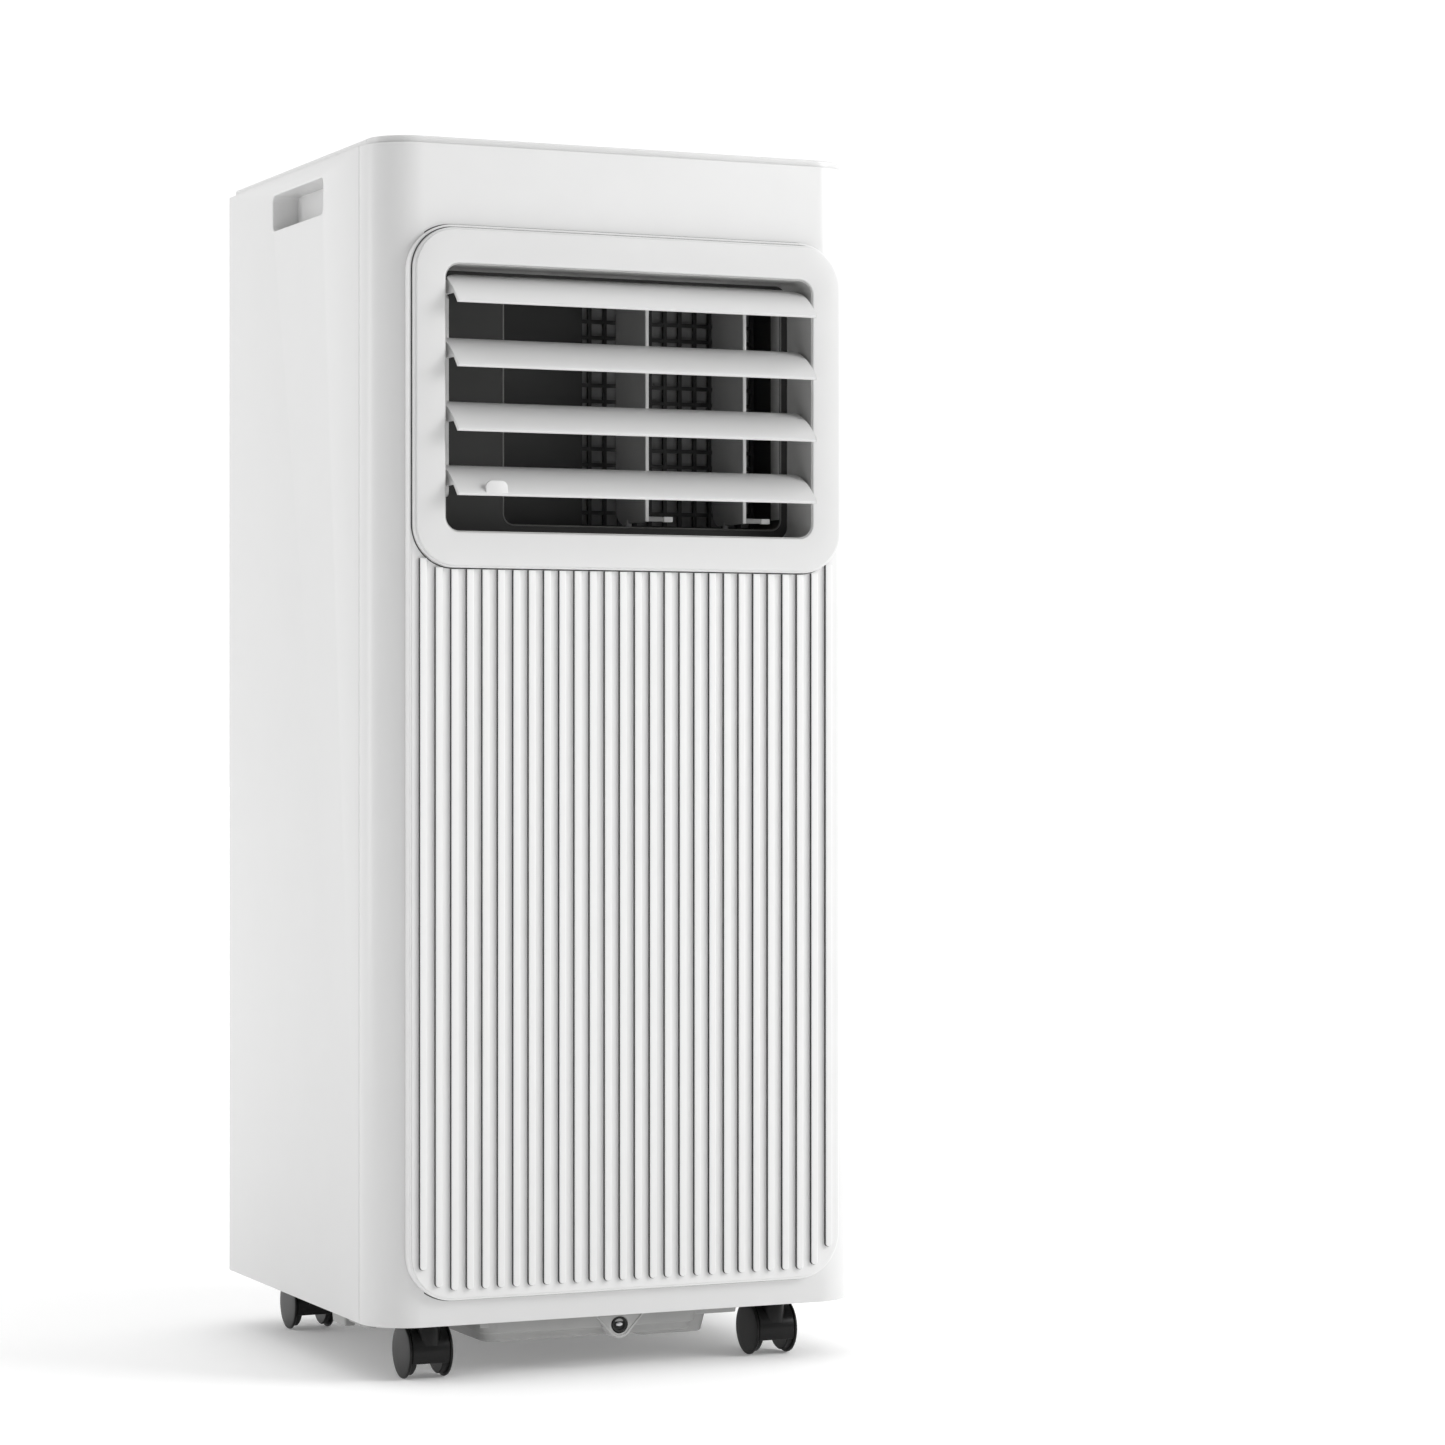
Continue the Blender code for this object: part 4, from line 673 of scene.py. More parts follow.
LOUVER_CHORD = 33.3 * MM
LOUVER_TILT = math.radians(31)
LOUVER_BULGE = 2.6 * MM
LOUVER_THICK = 2 * MM
TOP_LOUVER_CORNER = 12 * MM
LOUVER_CORNER = 3 * MM
LOUVER_HALF = OPEN_HIGH[0] - 2.5 * MM
EAR = 3 * MM
LIP_DROP = 22.5 * MM
LIP_PROUD = 22 * MM
LAST_LIP_RISE = 19 * MM
LOUVER_COUNT = 4


def louver_lip(number):
    pitch = (OPEN_HIGH[1] - OPEN_LOW[1] - LIP_DROP - LAST_LIP_RISE) / (LOUVER_COUNT - 1)
    return back(-LIP_PROUD), OPEN_HIGH[1] - LIP_DROP - number * pitch


def blade_point(number, share, depth):
    y, z = louver_lip(number)
    half = LOUVER_CHORD / 2
    radius = (half**2 + LOUVER_BULGE**2) / (2 * LOUVER_BULGE)
    spread = math.asin(half / radius)
    start = LOUVER_TILT + math.pi / 2 + spread
    angle = start - 2 * spread * share
    centre = (y - radius * math.cos(start), z + 1.3 * MM - radius * math.sin(start))
    reach = radius - depth
    return (centre[0] + reach * math.cos(angle), centre[1] + reach * math.sin(angle))


def blade_section(number, last, shrink):
    """The closed outline of a blade across X, up to a share of its chord, with eased edges."""
    ease = 0.45 * MM
    per = 1 / LOUVER_CHORD
    top, low = shrink, LOUVER_THICK - shrink
    first = shrink * per
    last = last - shrink * per
    span = last - first - 2 * ease * per
    bit, bit_share = 0.3 * ease, 0.3 * ease * per
    places = [(first + ease * per + span * i / 18, top) for i in range(19)]
    places += [(last - bit_share, top + bit), (last, top + ease)]
    places += [(last, low - ease), (last - bit_share, low - bit)]
    places += [(last - ease * per - span * i / 18, low) for i in range(19)]
    places += [(first + bit_share, low - bit), (first, low - ease)]
    places += [(first, top + ease), (first + bit_share, top + bit)]
    return [blade_point(number, *place) for place in places]


def blade_last(number, x):
    """How far back the blade reaches at this X, as a share of its chord: its rear corners are round."""
    corner = LOUVER_CORNER if number else TOP_LOUVER_CORNER
    over = min(max(abs(x) - (LOUVER_HALF - corner), 0), corner - 0.2 * MM)
    trim = corner - math.sqrt(corner**2 - over**2)
    front = blade_point(number, 0, 0)[0]
    rear = blade_point(number, 1, 0)[0]
    return min(1, max((rear - trim - front) / (rear - front), 0.30))


def crank_pin(pivot):
    """Where a louver's crank takes the link bar, which hangs level with the pins."""
    low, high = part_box("louver_link")
    return (low.y + high.y) / 2, pivot.z - 6 * MM


def louver(number):
    name = f"louver_{number + 1}"
    ease = 0.4 * MM
    corner = LOUVER_CORNER if number else TOP_LOUVER_CORNER
    xs = [LOUVER_HALF - corner * (1 - math.sin(math.radians(4.6 * i))) for i in range(20)]
    xs[-1] = LOUVER_HALF - ease
    stations = [(x, 0) for x in xs] + [(LOUVER_HALF - 0.3 * ease, 0.3 * ease), (LOUVER_HALF, ease)]
    stations = [(-x, shrink) for x, shrink in reversed(stations)] + stations
    rings = [(blade_section(number, blade_last(number, x), shrink), x) for x, shrink in stations]
    parts = [loft("blade", rings, "X", GLOSS_WHITE, angle=45)]
    pivot = Vector(joint_place(name + "_tilt"))
    crank = crank_pin(pivot)
    hub = arc((pivot.y, pivot.z), 4 * MM, 0, 352, 28)
    web = [blade_point(number, share, LOUVER_THICK / 2) for share in (0.25, 0.4, 0.55)]
    inner = LOUVER_HALF - EAR
    ear = hull(hub + web)
    for start, end in ((-LOUVER_HALF, -inner), (inner, LOUVER_HALF)):
        parts.append(soften(prism("ear", ear, "X", start, end, GLOSS_WHITE), 0.3 * MM, 2))
    arm = hull(hub + arc(crank, 2.8 * MM, 0, 345, 20))
    arm = prism("arm", arm, "X", 0.5 * MM - LOUVER_HALF, -inner - 0.5 * MM, GLOSS_WHITE)
    parts.append(soften(arm, 0.3 * MM, 2))
    reach = OPEN_HIGH[0] + LINER_WALL - GAP
    centre = (0, pivot.y, pivot.z)
    parts.append(rod("pin", "X", centre, 2 * MM, inner + 1 * MM, reach, GLOSS_WHITE))
    parts.append(rod("pin", "X", centre, 2 * MM, -reach, -inner - 1 * MM, GLOSS_WHITE))
    link_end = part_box("louver_link")[1].x
    parts.append(rod("crank_pin", "X", (0, *crank), 1.5 * MM, -inner - 1 * MM, link_end, GLOSS_WHITE))
    if number == LOUVER_COUNT - 1:
        y, z = louver_lip(number)
        middle = OPEN_LOW[0] + 25.8 * MM
        low, high = (middle - 6.5 * MM, z + 0.3 * MM), (middle + 6.5 * MM, z + 8.8 * MM)
        levels = ((0, 2.4), (0, 0.8), (0.12, 0.5), (0.4, 0.4))
        radii = (0.6 * MM, 0.6 * MM, 4 * MM, 4 * MM)
        rings = [(inset(low, high, radii, by * MM), y + rise * MM) for by, rise in levels]
        parts.append(loft("tab", rings, "Y", GLOSS_WHITE))
    assemble(parts, name, "white_plastic", name)


def louver_link():
    low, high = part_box("louver_link")
    centre = (low.y + high.y) / 2
    radius = (high.y - low.y) / 2
    outline = arc((centre, high.z - radius), radius, 0, 180, 14)
    outline += arc((centre, low.z + radius), radius, 180, 360, 14)
    bar = prism("louver_link_skin", outline, "X", low.x, high.x, GLOSS_WHITE)
    holes = []
    for j in frame["joints"]:
        if j["name"].startswith("louver_") and j["name"].endswith("_tilt"):
            y, z = crank_pin(Vector(j["pos_m"]))
            holes.append(rod("hole", "X", (low.x, y, z), 1.9 * MM, -OVER, OVER, GLOSS_WHITE))
    cut(bar, *holes)
    stands_for(soften(bar, 0.25 * MM, 2), "louver_link", "white_plastic", "louver_link")


def vane(name):
    low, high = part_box(name)
    x, pivot_y = joint_place(name + "_swing")[:2]
    foot = DUCT_LOW[1] + 2.5 * MM
    head = DUCT_HIGH[1] - 3 * MM
    thick = 1 * MM
    front, rear = low.y, high.y
    edge = 1.0 * MM
    radii = (0.6 * MM, 10 * MM, 10 * MM, 0.6 * MM)
    ease = 0.3 * MM
    levels = [(ease, x - thick), (0, x - thick + ease), (0, x + thick - ease), (ease, x + thick)]
    plate = [(inset((front + edge, foot), (rear, head), radii, by), along) for by, along in levels]
    # Painted shade: the body, pins and inner part of the tab are grey for the shade inside the duct; the
    # front edge and the tab's tip stay white.
    parts = [loft("plate", plate, "X", VANE_GREY)]
    bead = block("edge", (x - thick, front, foot), (x + thick, front + edge, head), GLOSS_WHITE)
    parts.append(soften(bead, ease))
    pin = (x, pivot_y, 0)
    parts.append(rod("pin", "Z", pin, 1.7 * MM, low.z, foot + 2 * MM, VANE_GREY))
    parts.append(rod("pin", "Z", pin, 1.7 * MM, head - 2 * MM, high.z, VANE_GREY))
    tab_end = high.x
    white = x + 0.66 * (tab_end - x)
    rear, top = front + 3 * MM, foot + 3 * MM
    tab = block("tab", (x, front + 0.5 * MM, foot + 0.2 * MM), (white, rear, top), VANE_GREY)
    tip = block("tip", (white, front, foot), (tab_end, rear, top), GLOSS_WHITE)
    parts += [soften(tab, 0.25 * MM), soften(tip, ease)]
    assemble(parts, name, "white_plastic", name)


DUCT_LOW = (OPEN_LOW[0] + 47.5 * MM, OPEN_LOW[1] + 6 * MM)
DUCT_HIGH = (OPEN_HIGH[0] - 4.5 * MM, OPEN_HIGH[1] - 2.5 * MM)
DUCT_RADIUS = 6 * MM


def duct_outline(by, steps=10):
    return inset(DUCT_LOW, DUCT_HIGH, DUCT_RADIUS, -by, steps)


def outlet_duct():
    low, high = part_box("outlet_duct")
    start = low.y
    plate = opening(LINER_WALL, 10)
    mouth = duct_outline(0.9 * MM)
    rings = [(plate, start), (mouth, start), (mouth, start + 2 * MM), (plate, start + 2 * MM)]
    parts = [loft("plate", rings, "Y", DUCT, closed=True)]
    # The rolled rim is real; its lighter grey is a painted highlight along the mouth's edge.
    rim = [(duct_outline(0.9 * MM), start + 0.6 * MM)]
    for i in range(7):
        a = math.radians(30 * i)
        rim.append((duct_outline(0.45 * MM + 0.45 * MM * math.cos(a)), start - 0.3 * MM * math.sin(a)))
    rim.append((duct_outline(0), start + 0.6 * MM))
    parts.append(loft("rim", rim, "Y", EDGE_GREY, closed=True))
    inner, outer = duct_outline(0), duct_outline(2 * MM)
    tube = [(inner, start + 0.6 * MM), (inner, high.y), (outer, high.y), (outer, start + 0.6 * MM)]
    parts.append(loft("tube", tube, "Y", DUCT, closed=True))
    # Painted light: a thin grey strip on the duct's right wall, in its front 11 mm, stands in for the light
    # on that wall.
    side = DUCT_HIGH[0] - 0.4 * MM
    foot, head = DUCT_LOW[1] + DUCT_RADIUS, DUCT_HIGH[1] - DUCT_RADIUS
    strip_low = (side, start + 0.8 * MM, foot)
    strip_high = (side + 0.3 * MM, start + 12 * MM, head)
    parts.append(soften(block("cheek", strip_low, strip_high, PAINTED_WALL_LIGHT), 0.1 * MM, 2))
    assemble(parts, "outlet_duct", "duct_plastic")


def lattice(name, low, high, pitch, bar, start, end, finish):
    """Crossed bars over a rectangle, each a plain strip."""
    parts = []
    across = round((high[0] - low[0]) / pitch)
    for i in range(across + 1):
        x = low[0] + (high[0] - low[0]) * i / across
        x = min(max(x, low[0] + bar / 2), high[0] - bar / 2)
        parts.append(block("bar", (x - bar / 2, start, low[1]), (x + bar / 2, end, high[1]), finish))
    down = round((high[1] - low[1]) / pitch)
    for i in range(down + 1):
        z = low[1] + (high[1] - low[1]) * i / down
        z = min(max(z, low[1] + bar / 2), high[1] - bar / 2)
        bar_low = (low[0], start + 0.2 * MM, z - bar / 2)
        bar_high = (high[0], end - 0.2 * MM, z + bar / 2)
        parts.append(block("bar", bar_low, bar_high, finish))
    return gather(name, parts)


def safety_grille():
    low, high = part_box("safety_grille")
    blank_end = low.x + 0.36 * (high.x - low.x)
    parts = [
        lattice("grid", (low.x, low.z), (high.x, high.z), 9.4 * MM, 2.2 * MM, low.y, high.y, GRILLE),
        block("blank", (low.x, low.y - 0.3 * MM, low.z), (blank_end, low.y, high.z), GRILLE),
        # Painted shade: this sheet stands in for the dim inside seen through the grille.
        block("backing", (low.x, high.y + 2 * MM, low.z), (high.x, high.y + 3 * MM, high.z), DIM),
    ]
    assemble(parts, "safety_grille", "duct_plastic")


# Casters


CORNERS = ("front_left", "front_right", "rear_left", "rear_right")
HOOD_WALL = 1 * MM
HOOD_DROP = 6 * MM
CAP_THICK = 1.9 * MM
TREAD_RADIUS = 13.8 * MM
SWIVEL_REACH = 29.35 * MM


def caster_body(corner):
    """A hood over both treads and between the wheels, on a swivelling stem."""
    name = corner + "_caster"
    low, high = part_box(name)
    swivel = joint_place(corner + "_swivel")
    roll = joint_place(corner + "_wheel_outer_roll")
    axle = tuple(roll)
    end = (high.x - low.x) / 2
    half = 7.35 * MM
    radius = TREAD_RADIUS + CLEARANCE + HOOD_WALL
    ease = 0.5 * MM
    profile = [(0, -half), (radius - HOOD_WALL, -half), (radius - HOOD_WALL, -end)]
    for c, s in quarter(5):
        profile.append((radius - ease + ease * s, -end + ease - ease * c))
    profile += [(r, -along) for r, along in reversed(profile)]
    hood = lathe("hood", profile, "X", axle, CASTER, 72)
    below_high = (high.x + OVER, high.y + OVER, roll[2] - HOOD_DROP)
    cut(hood, block("below", (low.x - OVER, low.y - OVER, -OVER), below_high, CASTER))
    parts = [soften(hood, 0.3 * MM, 2), rod("hub", "X", axle, 4.5 * MM, -half, half, CASTER)]
    pin = (swivel[0], swivel[1], 0)
    boss_top = up(2.2 * MM)
    boss = [(0, roll[2] + 4 * MM), (6.5 * MM, roll[2] + 4 * MM), (6.5 * MM, boss_top - 1.2 * MM)]
    boss += [(6.2 * MM, boss_top - 0.4 * MM), (5.4 * MM, boss_top), (0, boss_top)]
    parts.append(lathe("boss", boss, "Z", pin, CASTER))
    parts.append(rod("stem", "Z", pin, 4 * MM, roll[2] + 6 * MM, high.z, STEEL))
    assemble(parts, name, "caster_plastic", name)


def wheel(name):
    """A smooth, slightly domed cap with an eased rim, and a narrower tread inside it."""
    low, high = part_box(name)
    centre = ((low.x + high.x) / 2, (low.y + high.y) / 2, (low.z + high.z) / 2)
    radius = (high.z - low.z) / 2
    half = (high.x - low.x) / 2
    outer = 1 if name.endswith("outer") == (centre[0] > 0) else -1
    bore = 2.1 * MM
    inner = half - CAP_THICK
    profile = [(bore, -half), (TREAD_RADIUS - 0.6 * MM, -half), (TREAD_RADIUS, 0.6 * MM - half)]
    profile += [(TREAD_RADIUS, inner), (radius - 0.4 * MM, inner), (radius, inner + 0.4 * MM)]
    ease = 0.9 * MM
    for c, s in quarter(5):
        profile.append((radius - ease + ease * c, half - ease - 0.25 * MM + ease * s))
    profile += [(radius - 3 * MM, half - 0.12 * MM), (radius / 2, half - 0.02 * MM)]
    profile += [(3 * MM, half), (0, half)]
    profile += [(0, half - 0.6 * MM), (bore, half - 0.6 * MM)]
    profile = [(r, outer * along) for r, along in profile]
    body = lathe(name + "_skin", profile, "X", centre, CASTER, 72)
    body.data.materials.append(TREAD)
    for face in body.data.polygons:
        along = outer * (face.center.x - centre[0])
        reach = math.hypot(face.center.y - centre[1], face.center.z - centre[2])
        if along < inner and reach > TREAD_RADIUS - 1 * MM:
            face.material_index = 1
    stands_for(body, name, "wheel_tread", name)


# Underside


def tub(name, low, high, top, bottom, radius, draft, ease):
    """A shallow tray with sloped sides and a rounded lower edge."""
    rings = [(inset(low, high, radius, 0), top)]
    side = top - bottom - ease
    for c, s in quarter(6):
        by = draft * side / (top - bottom) + ease * (1 - c)
        rings.append((inset(low, high, radius, by), bottom + ease - ease * s))
    return loft(name, rings, "Z", BASE_GREY, angle=50)


def base_pan():
    """A flanged pan under the cabinet, stepped down to a drain tub with a boss for the plug."""
    outer, inner = (cabinet_plan(WALL + CLEARANCE, by) for by in (0, 2 * MM))
    rim = [(outer, up(2.4 * MM)), (outer, up(20 * MM)), (inner, up(20 * MM)), (inner, up(6 * MM))]
    pan = loft("pan", rim, "Z", BASE_GREY)
    rear = BODY_DEPTH - 14 * MM
    parts = []
    # Left and right are distances in from the cabinet's sides, in millimetres like the rest.
    for name, left, right, front, end, top, bottom, radius, draft, ease in (
        ("flange", 60, 58, 11, rear, 4, -4.5, 10, 1.5, 1),
        ("tub", 66, 95, 14, rear - 4 * MM, 0, -13.8, 14, 5, 2),
        ("sump", 163, 88, 19, rear - 50 * MM, 0, -16, 9, 4, 2),
        ("lip", 66, 97, 9, rear, 0, -8, 12, 2, 0.8),
        ("hook", 7, 285, 76, 100 * MM, 3, -8.5, 2, 1, 0.8),
        ("rail", 5, 287, 30, 64 * MM, 3, -3.5, 2, 0.5, 0.8),
    ):
        tray_low = (left * MM - HALF, back(front * MM))
        tray_high = (HALF - right * MM, back(end))
        sizes = (radius * MM, draft * MM, ease * MM)
        parts.append(tub(name, tray_low, tray_high, up(top * MM), up(bottom * MM), *sizes))
    wells, sockets = [], []
    for corner in CORNERS:
        x, y = joint_place(corner + "_swivel")[:2]
        wells.append(rod("well", "Z", (x, y, 0), SWIVEL_REACH, up(-30 * MM), up(3 * MM), BASE_GREY, 64))
        bore, wall, foot, head = 4.4 * MM, 8.5 * MM, up(4 * MM), up(18 * MM)
        ring = [(bore, foot), (wall, foot), (wall, head), (bore, head)]
        sockets.append(lathe("socket", ring, "Z", (x, y, 0), BASE_GREY))
    body = fuse(pan, *parts)
    cut(body, *wells)
    soften(body, 0.5 * MM, 2, 50)
    plug_low, plug_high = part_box("drain_plug")
    z = (plug_low.z + plug_high.z) / 2
    front, deep = plug_low.y - CLEARANCE, back(22 * MM)

    def shield(by):
        lower = arc((0, z), 7.8 * MM - by, 212, 328, 16)
        half = 16 * MM - by
        sill, top = up(-0.3 * MM), up(3 * MM)
        return lower + [(half, sill), (half, top), (-half, top), (-half, sill)]

    rings = [(shield(0), deep)]
    for by, rise in ((0, 0.6), (0.2, 0.2), (0.6, 0), (1.3, 0), (1.6, 0.5)):
        rings.append((shield(by * MM), front + rise * MM))
    boss = loft("boss", rings, "Y", LINER)
    hole = rod("hole", "Y", (0, 0, z), 5.2 * MM, front - OVER, front + 11 * MM, BASE_GREY)
    cut(boss, hole)
    assemble([body, boss, *sockets], "base_pan", "base_plastic")


def drain_plug():
    low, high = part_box("drain_plug")
    centre = ((low.x + high.x) / 2, low.y, (low.z + high.z) / 2)
    radius = (high.z - low.z) / 2
    depth = high.y - low.y
    ring = [(0, 0.9 * MM), (3.1 * MM, 0.9 * MM), (3.3 * MM, 0.2 * MM), (3.7 * MM, 0)]
    ring += [(4.4 * MM, 0), (radius, 0.5 * MM), (radius, depth), (0, depth)]
    parts = [lathe("plug", ring, "Y", centre, RUBBER)]
    lens = arc((centre[0], centre[2] - 1.9 * MM), 3.0 * MM, 50, 130, 10)
    lens += arc((centre[0], centre[2] + 1.9 * MM), 3.0 * MM, 230, 310, 10)
    lens = hull(lens)
    key = prism("key", lens, "Y", low.y + 0.25 * MM, low.y + 1.2 * MM, STEEL)
    parts.append(soften(key, 0.2 * MM, 2))
    assemble(parts, "drain_plug", "rubber", "drain_plug")


# Rear


def filter_cover(name):
    """A bordered cover with fine slats over a mesh."""
    low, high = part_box(name)
    thick = 2.8 * MM
    outer_low, outer_high = (low.x, low.z), (high.x, high.z)
    border = 12 * MM
    rear = high.y
    face = rear - thick
    levels = [(0, face), (0, rear - 0.8 * MM), (0.25 * MM, rear - 0.25 * MM), (0.8 * MM, rear)]
    rings = [(inset(outer_low, outer_high, 5 * MM, by), y) for by, y in levels]
    inner_low = (low.x + border, low.z + border)
    inner_high = (high.x - border, high.z - border)
    hole = [(0.6 * MM, rear), (0.15 * MM, rear - 0.2 * MM), (0, rear - 0.6 * MM), (0, face)]
    rings += [(inset(inner_low, inner_high, 3 * MM, -by), y) for by, y in hole]
    parts = [loft("border", rings, "Y", WHITE, closed=True)]
    for i in (-1, 1):
        x = i * (inner_high[0] - inner_low[0]) / 6
        post_high = (x + 2 * MM, rear - 0.7 * MM, inner_high[1])
        post = block("post", (x - 2 * MM, face, inner_low[1]), post_high, WHITE)
        parts.append(soften(post, 0.3 * MM))
    height = inner_high[1] - inner_low[1]
    count = int(height / (7 * MM))
    slat = [(-1.4 * MM, 0.9 * MM), (1.2 * MM, -0.9 * MM), (1.4 * MM, -0.3 * MM), (-1.2 * MM, 1.5 * MM)]
    middle = (face + rear) / 2 - 0.4 * MM
    for i in range(1, count):
        z = inner_low[1] + height * i / count
        outline = [(middle + y, z + rise) for y, rise in slat]
        parts.append(prism("slat", outline, "X", inner_low[0], inner_high[0], WHITE))
    mesh_low = (inner_low[0], face + 0.05 * MM, inner_low[1])
    mesh_high = (inner_high[0], face + 0.25 * MM, inner_high[1])
    parts.append(block("mesh", mesh_low, mesh_high, MESH))
    frame_low = (low.x + 6.4 * MM, low.z + 6.4 * MM)
    frame_high = (high.x - 6.4 * MM, high.z - 6.4 * MM)
    outer, inner = (inset(frame_low, frame_high, 4 * MM, by) for by in (0, 3 * MM))
    parts.append(loft("frame", band(outer, inner, low.y, face), "Y", WHITE, closed=True))
    assemble(parts, name, "filter_plastic", name)


def exhaust_collar():
    low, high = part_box("exhaust_collar")
    centre = ((low.x + high.x) / 2, back(BODY_DEPTH), (low.z + high.z) / 2)
    bore, outer, flange = 58 * MM, 62 * MM, (high.x - low.x) / 2
    end = high.y - centre[1]
    ease = 0.8 * MM
    profile = [(bore, low.y - centre[1]), (outer, low.y - centre[1]), (outer, GAP), (flange, GAP)]
    profile += [(flange, 2.2 * MM), (flange - ease, 3 * MM), (outer + 0.6 * MM, 3 * MM), (outer, 3.6 * MM)]
    for step in (5.5, 8.5, 11.5):
        for out, rise in ((0, 0), (0.9, 0.5), (0.9, 0.9), (0, 1.4)):
            profile.append((outer + out * MM, (step + rise) * MM))
    profile += [(outer, end - ease), (outer - ease, end), (bore + ease, end), (bore, end - ease)]
    parts = [lathe("ring", profile, "Y", centre, LINER, 96)]
    guard = low.y + 0.8 * MM
    for i in range(-4, 5):
        x = i * 12.5 * MM
        reach = math.sqrt(max((bore + 0.001) ** 2 - x * x, 0))
        half = 0.9 * MM
        bar_low = (x - half, guard, centre[2] - reach)
        bar_high = (x + half, guard + 2 * MM, centre[2] + reach)
        parts.append(block("guard", bar_low, bar_high, LINER))
        bar_low = (-reach, guard + 0.3 * MM, centre[2] + x - half)
        bar_high = (reach, guard + 1.7 * MM, centre[2] + x + half)
        parts.append(block("guard", bar_low, bar_high, LINER))
    assemble(parts, "exhaust_collar", "duct_plastic")


# Controls


def control_panel():
    low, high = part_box("control_panel")
    margin = 3.4 * MM
    plate_low = (low.x + margin, low.y + margin)
    plate_high = (high.x - margin, high.y - margin)
    top = high.z
    rings = [(inset(plate_low, plate_high, CONTROL_RADIUS, 0), low.z + 2 * MM)]
    for by, drop in ((0, 0.5), (0.15, 0.15), (0.5, 0)):
        rings.append((inset(plate_low, plate_high, CONTROL_RADIUS, by * MM), top - drop * MM))
    plate = loft("plate", rings, "Z", WHITE)
    tools = []
    for node in frame["nodes"]:
        if node.endswith("_button"):
            hole = plan(*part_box(node), KEY_RADIUS, -CLEARANCE, 8)
            tools.append(prism("hole", hole, "Z", low.z - OVER, top + OVER, WHITE))
    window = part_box("display_window")
    pocket = plan(*window, WINDOW_RADIUS, -CLEARANCE, 8)
    tools.append(prism("pocket", pocket, "Z", window[0].z - 0.3 * MM, top + OVER, WHITE))
    cut(plate, *tools)
    outer = plan(low, high, CONTROL_RADIUS, 0)
    flange = [(outer, low.z), (outer, low.z + 2.4 * MM)]
    hollow = prism("hollow", plan(low, high, CONTROL_RADIUS, 8 * MM), "Z", low.z - OVER, low.z + OVER, WHITE)
    ring = cut(loft("flange", flange, "Z", WHITE), hollow)
    assemble([plate, ring], "control_panel", "white_plastic")


def button(node):
    """A domed key with a small generic symbol moulded on it."""
    low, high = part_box(node)
    top = high.z
    rings = [(plan(low, high, KEY_RADIUS, 0, 8), low.z)]
    for by, drop in ((0, 0.9), (0.2, 0.45), (0.7, 0.2), (2.2, 0.1)):
        rings.append((plan(low, high, KEY_RADIUS, by * MM, 8), top - drop * MM))
    parts = [loft("key", rings, "Z", BUTTON, angle=60)]
    x, y = (low.x + high.x) / 2, (low.y + high.y) / 2
    start, end = top - 0.14 * MM, top - 0.04 * MM

    def bar(w, d, dx=0.0, dy=0.0):
        mark_low = (x + dx - w / 2, y + dy - d / 2, start)
        return block("mark", mark_low, (x + dx + w / 2, y + dy + d / 2, end), ICON)

    def ring(radius, gap_from=0, gap_to=360, dx=0.0):
        outer = arc((x + dx, y), radius, gap_from, gap_to, 20)
        inner = arc((x + dx, y), radius - 0.45 * MM, gap_to, gap_from, 20)
        return prism("mark", outer + inner, "Z", start, end, ICON)

    marks = {
        "power_button": lambda: [ring(2.0 * MM, 125, 415), bar(0.45 * MM, 2.0 * MM, 0, 1.2 * MM)],
        "mode_button": lambda: [bar(3.6 * MM, 0.45 * MM, 0, d * 1.2 * MM) for d in (-1, 0, 1)],
        "fan_button": lambda: [ring(1.1 * MM, a, a + 150, dx) for a, dx in ((0, -1.1 * MM), (180, 1.1 * MM))],
        "timer_button": lambda: [
            ring(2.0 * MM, 0, 358),
            bar(0.4 * MM, 1.3 * MM, 0, 0.6 * MM),
            bar(1.0 * MM, 0.4 * MM, 0.4 * MM),
        ],
        "temperature_down_button": lambda: [bar(3.2 * MM, 0.6 * MM)],
        "temperature_up_button": lambda: [
            bar(3.2 * MM, 0.6 * MM),
            bar(0.6 * MM, 1.3 * MM, 0, 0.95 * MM),
            bar(0.6 * MM, 1.3 * MM, 0, -0.95 * MM),
        ],
    }
    parts += marks[node]()
    assemble(parts, node, "button_plastic", node)


def display():
    low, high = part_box("display_window")
    rings = [(plan(low, high, WINDOW_RADIUS, 0, 8), low.z)]
    for by, drop in ((0, 0.4), (0.15, 0.12), (0.5, 0.02)):
        rings.append((plan(low, high, WINDOW_RADIUS, by * MM, 8), high.z - drop * MM))
    glass = loft("glass", rings, "Z", GLASS)
    middle = (low.y + high.y) / 2
    marks = []
    for i in (-1, 0, 1):
        place = (i * 6 * MM, middle, 0)
        marks.append(rod("indicator", "Z", place, 0.9 * MM, high.z - 0.1 * MM, high.z, LENS, 20))
    assemble([glass, *marks], "display_window", "display_glass")


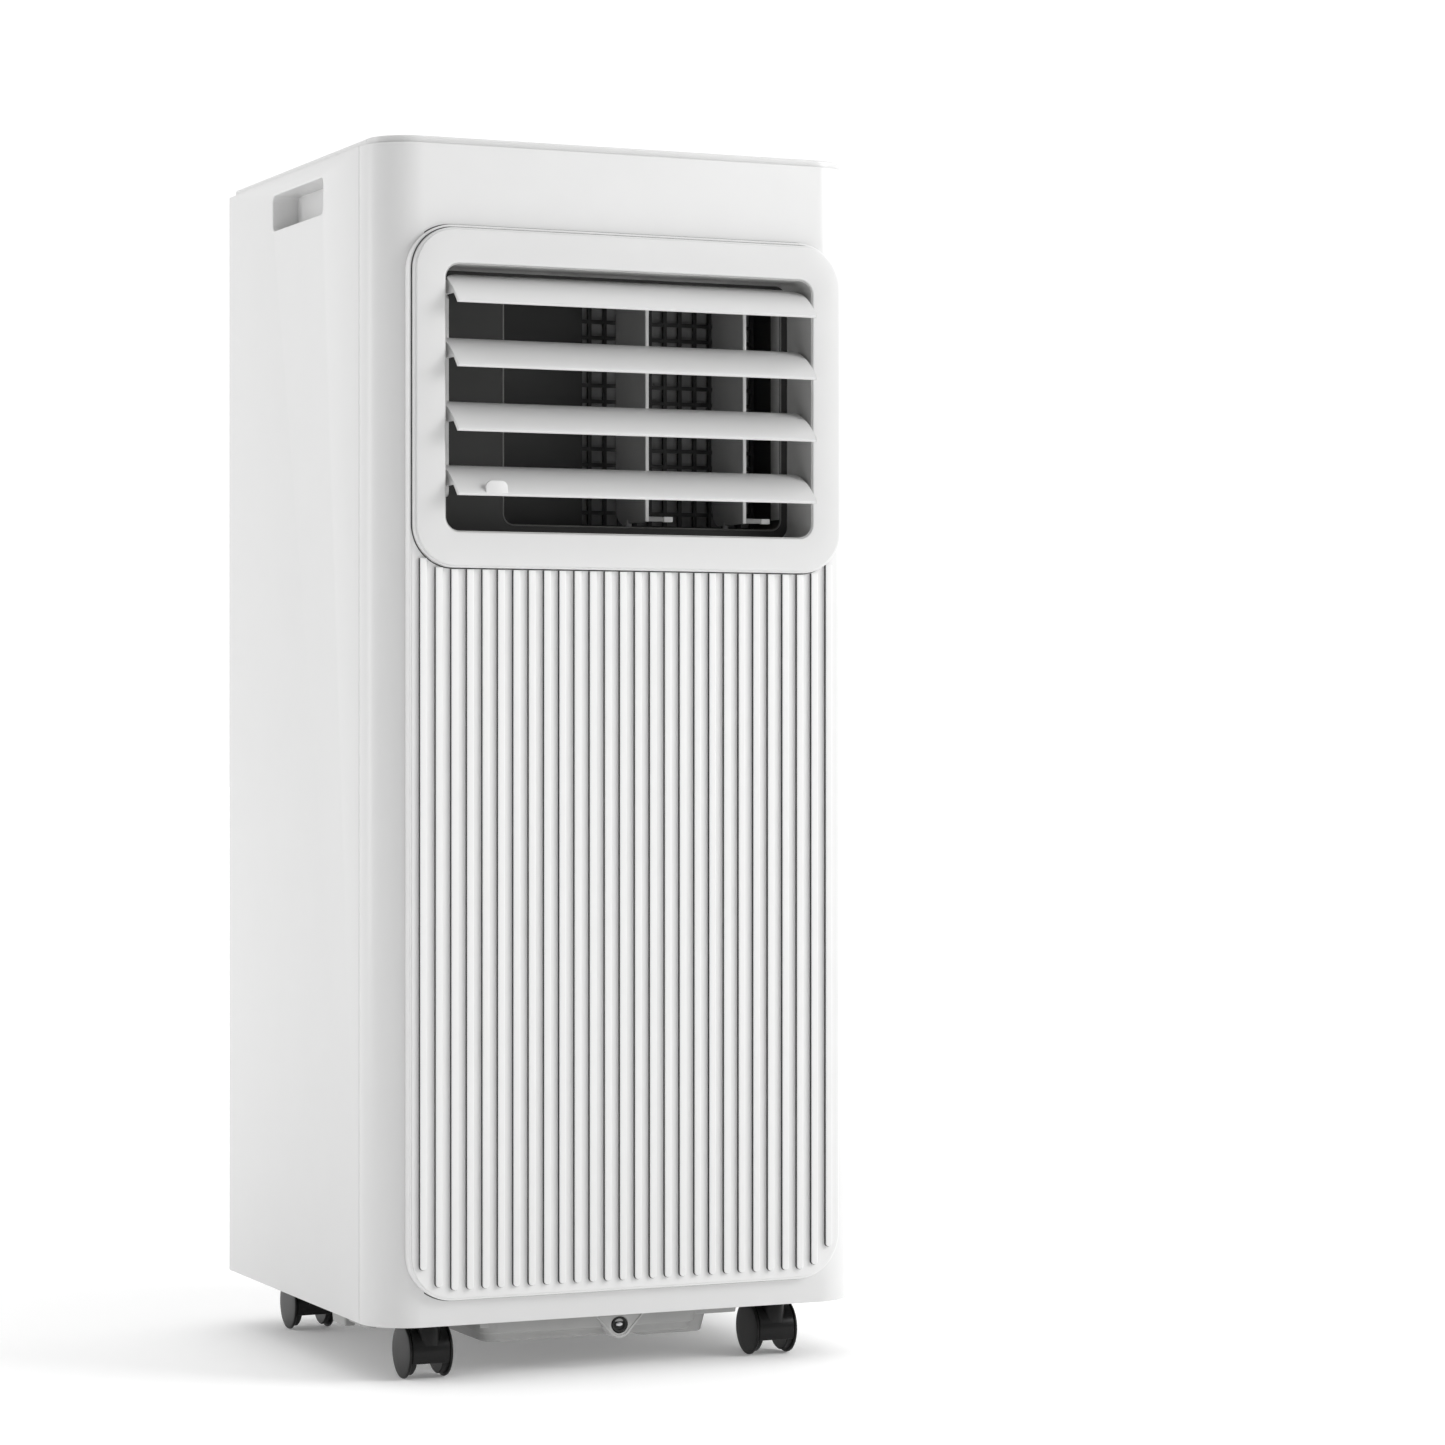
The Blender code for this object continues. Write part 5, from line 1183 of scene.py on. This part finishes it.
def carry_over():
    """CAD pieces that keep their shape get their own finish, and an eased edge where it shows."""
    finishes = {
        "rear_panel": WHITE, "cord_gland": RUBBER, "drip_tray": BASE_GREY,
        "condenser_coil": FINS, "evaporator_coil": FINS, "evaporator_blower_scroll": FOAM,
        "condenser_blower_scroll": FOAM, "evaporator_blower_wheel": FAN, "condenser_blower_wheel": FAN,
        "evaporator_blower_motor": ENAMEL, "condenser_blower_motor": ENAMEL, "compressor": ENAMEL,
        "accumulator": ENAMEL, "discharge_pipe": COPPER, "suction_pipe": COPPER, "electrical_box": STEEL,
    }
    for node, finish in finishes.items():
        obj = frame["nodes"][node]
        obj.data.materials.clear()
        obj.data.materials.append(finish)
    for node, obj in frame["nodes"].items():
        if node.endswith("_axle"):
            obj.data.materials.clear()
            obj.data.materials.append(STEEL)
    ease_edges(frame["nodes"]["rear_panel"], 0.3 * MM, 2, 50)


# Stage


KEY_POWER = 55
STRIP_POWER = 6
SKY_POWER = 0.42
FLOOR_HALF = 20


def put(name, data, place, direction):
    """Links a light or camera, turned to look in a direction."""
    made = bpy.data.objects.new(name, data)
    made.location = place
    made.rotation_mode = "QUATERNION"
    made.rotation_quaternion = Vector(direction).to_track_quat("-Z", "Y")
    bpy.context.scene.collection.objects.link(made)
    return made


def area_light(name, place, target, size, power):
    light = bpy.data.lights.new(name, "AREA")
    light.shape = "RECTANGLE"
    light.size, light.size_y = size
    light.energy = power
    put(name, light, place, Vector(target) - Vector(place))


def stage():
    """A pale floor that glows a little far off, so that it meets the white behind it."""
    finish = material("floor_white", (0.93, 0.93, 0.93), 0.9, vary=0.004, grain=300, bump=0.01)
    tree = finish.node_tree
    shader = tree.nodes["Principled BSDF"]
    socket(shader, "Emission Color", (1, 1, 1, 1))
    away = add(tree, "VectorMath", {})
    away.operation = "LENGTH"
    wire(tree, add(tree, "TexCoord", {}), "Object", away, 0)
    fade = add(tree, "MapRange", {"From Min": 0.3, "From Max": 2.2, "To Min": 0.14, "To Max": 0.36})
    wire(tree, away, "Value", fade, "Value")
    wire(tree, fade, "Result", shader, "Emission Strength")
    edge = FLOOR_HALF
    block("floor", (-edge, -edge, -0.02), (edge, edge, 0), finish)
    world = bpy.data.worlds.new("studio")
    world.use_nodes = True
    tree = world.node_tree
    shader = tree.nodes["Background"]
    socket(shader, "Color", (1, 1, 1, 1))
    lean = add(tree, "VectorMath", {})
    lean.operation = "DOT_PRODUCT"
    socket(lean, 1, (0.3, 1, 0))
    wire(tree, add(tree, "TexCoord", {}), "Generated", lean, 0)
    fade = add(tree, "MapRange", {"From Min": -0.85, "From Max": 0.40, "To Min": 0.28, "To Max": 1.06})
    fade.interpolation_type = "SMOOTHSTEP"
    wire(tree, lean, "Value", fade, "Value")
    wire(tree, fade, "Result", shader, "Strength")
    bpy.context.scene.world = world
    area_light("key", (2.3, -1.9, 1.7), (0, 0, 0.35), (1.5, 1.5), KEY_POWER)
    area_light("strip", (-1.9, 0.75, 0.5), (-0.15, 0, 0.36), (0.12, 1.6), STRIP_POWER)
    sky = bpy.data.lights.new("sky", "SUN")
    sky.energy = SKY_POWER
    sky.angle = math.radians(100)
    put("sky", sky, (0, 0, 0), (-0.25, 0.3, -1))
    bpy.context.scene.view_settings.view_transform = "Standard"


def camera():
    """Level, a little under half way up, turned 24 degrees to the object's left."""
    lens = bpy.data.cameras.new("camera")
    lens.sensor_width = 36
    lens.lens = 100.48
    lens.clip_start, lens.clip_end = 0.05, 50
    place = (-0.8918, FRONT_Y - 2.1174, BASE_Z + 0.3372)
    heading = math.radians(24.21)
    direction = (math.sin(heading), math.cos(heading), 0)
    bpy.context.scene.camera = put("camera", lens, place, direction)


def main():
    camera()
    stage()
    front_shell()
    side_panel("left_side_panel", -1)
    side_panel("right_side_panel", 1)
    top_cover()
    ribbed_panel()
    bezel()
    outlet_duct()
    safety_grille()
    for number in range(LOUVER_COUNT):
        louver(number)
    louver_link()
    vane("vane_left")
    vane("vane_right")
    for corner in CORNERS:
        caster_body(corner)
        wheel(corner + "_wheel_outer")
        wheel(corner + "_wheel_inner")
    base_pan()
    drain_plug()
    filter_cover("upper_filter")
    filter_cover("lower_filter")
    exhaust_collar()
    control_panel()
    display()
    for node in list(frame["nodes"]):
        if node.endswith("_button"):
            button(node)
    carry_over()


main()
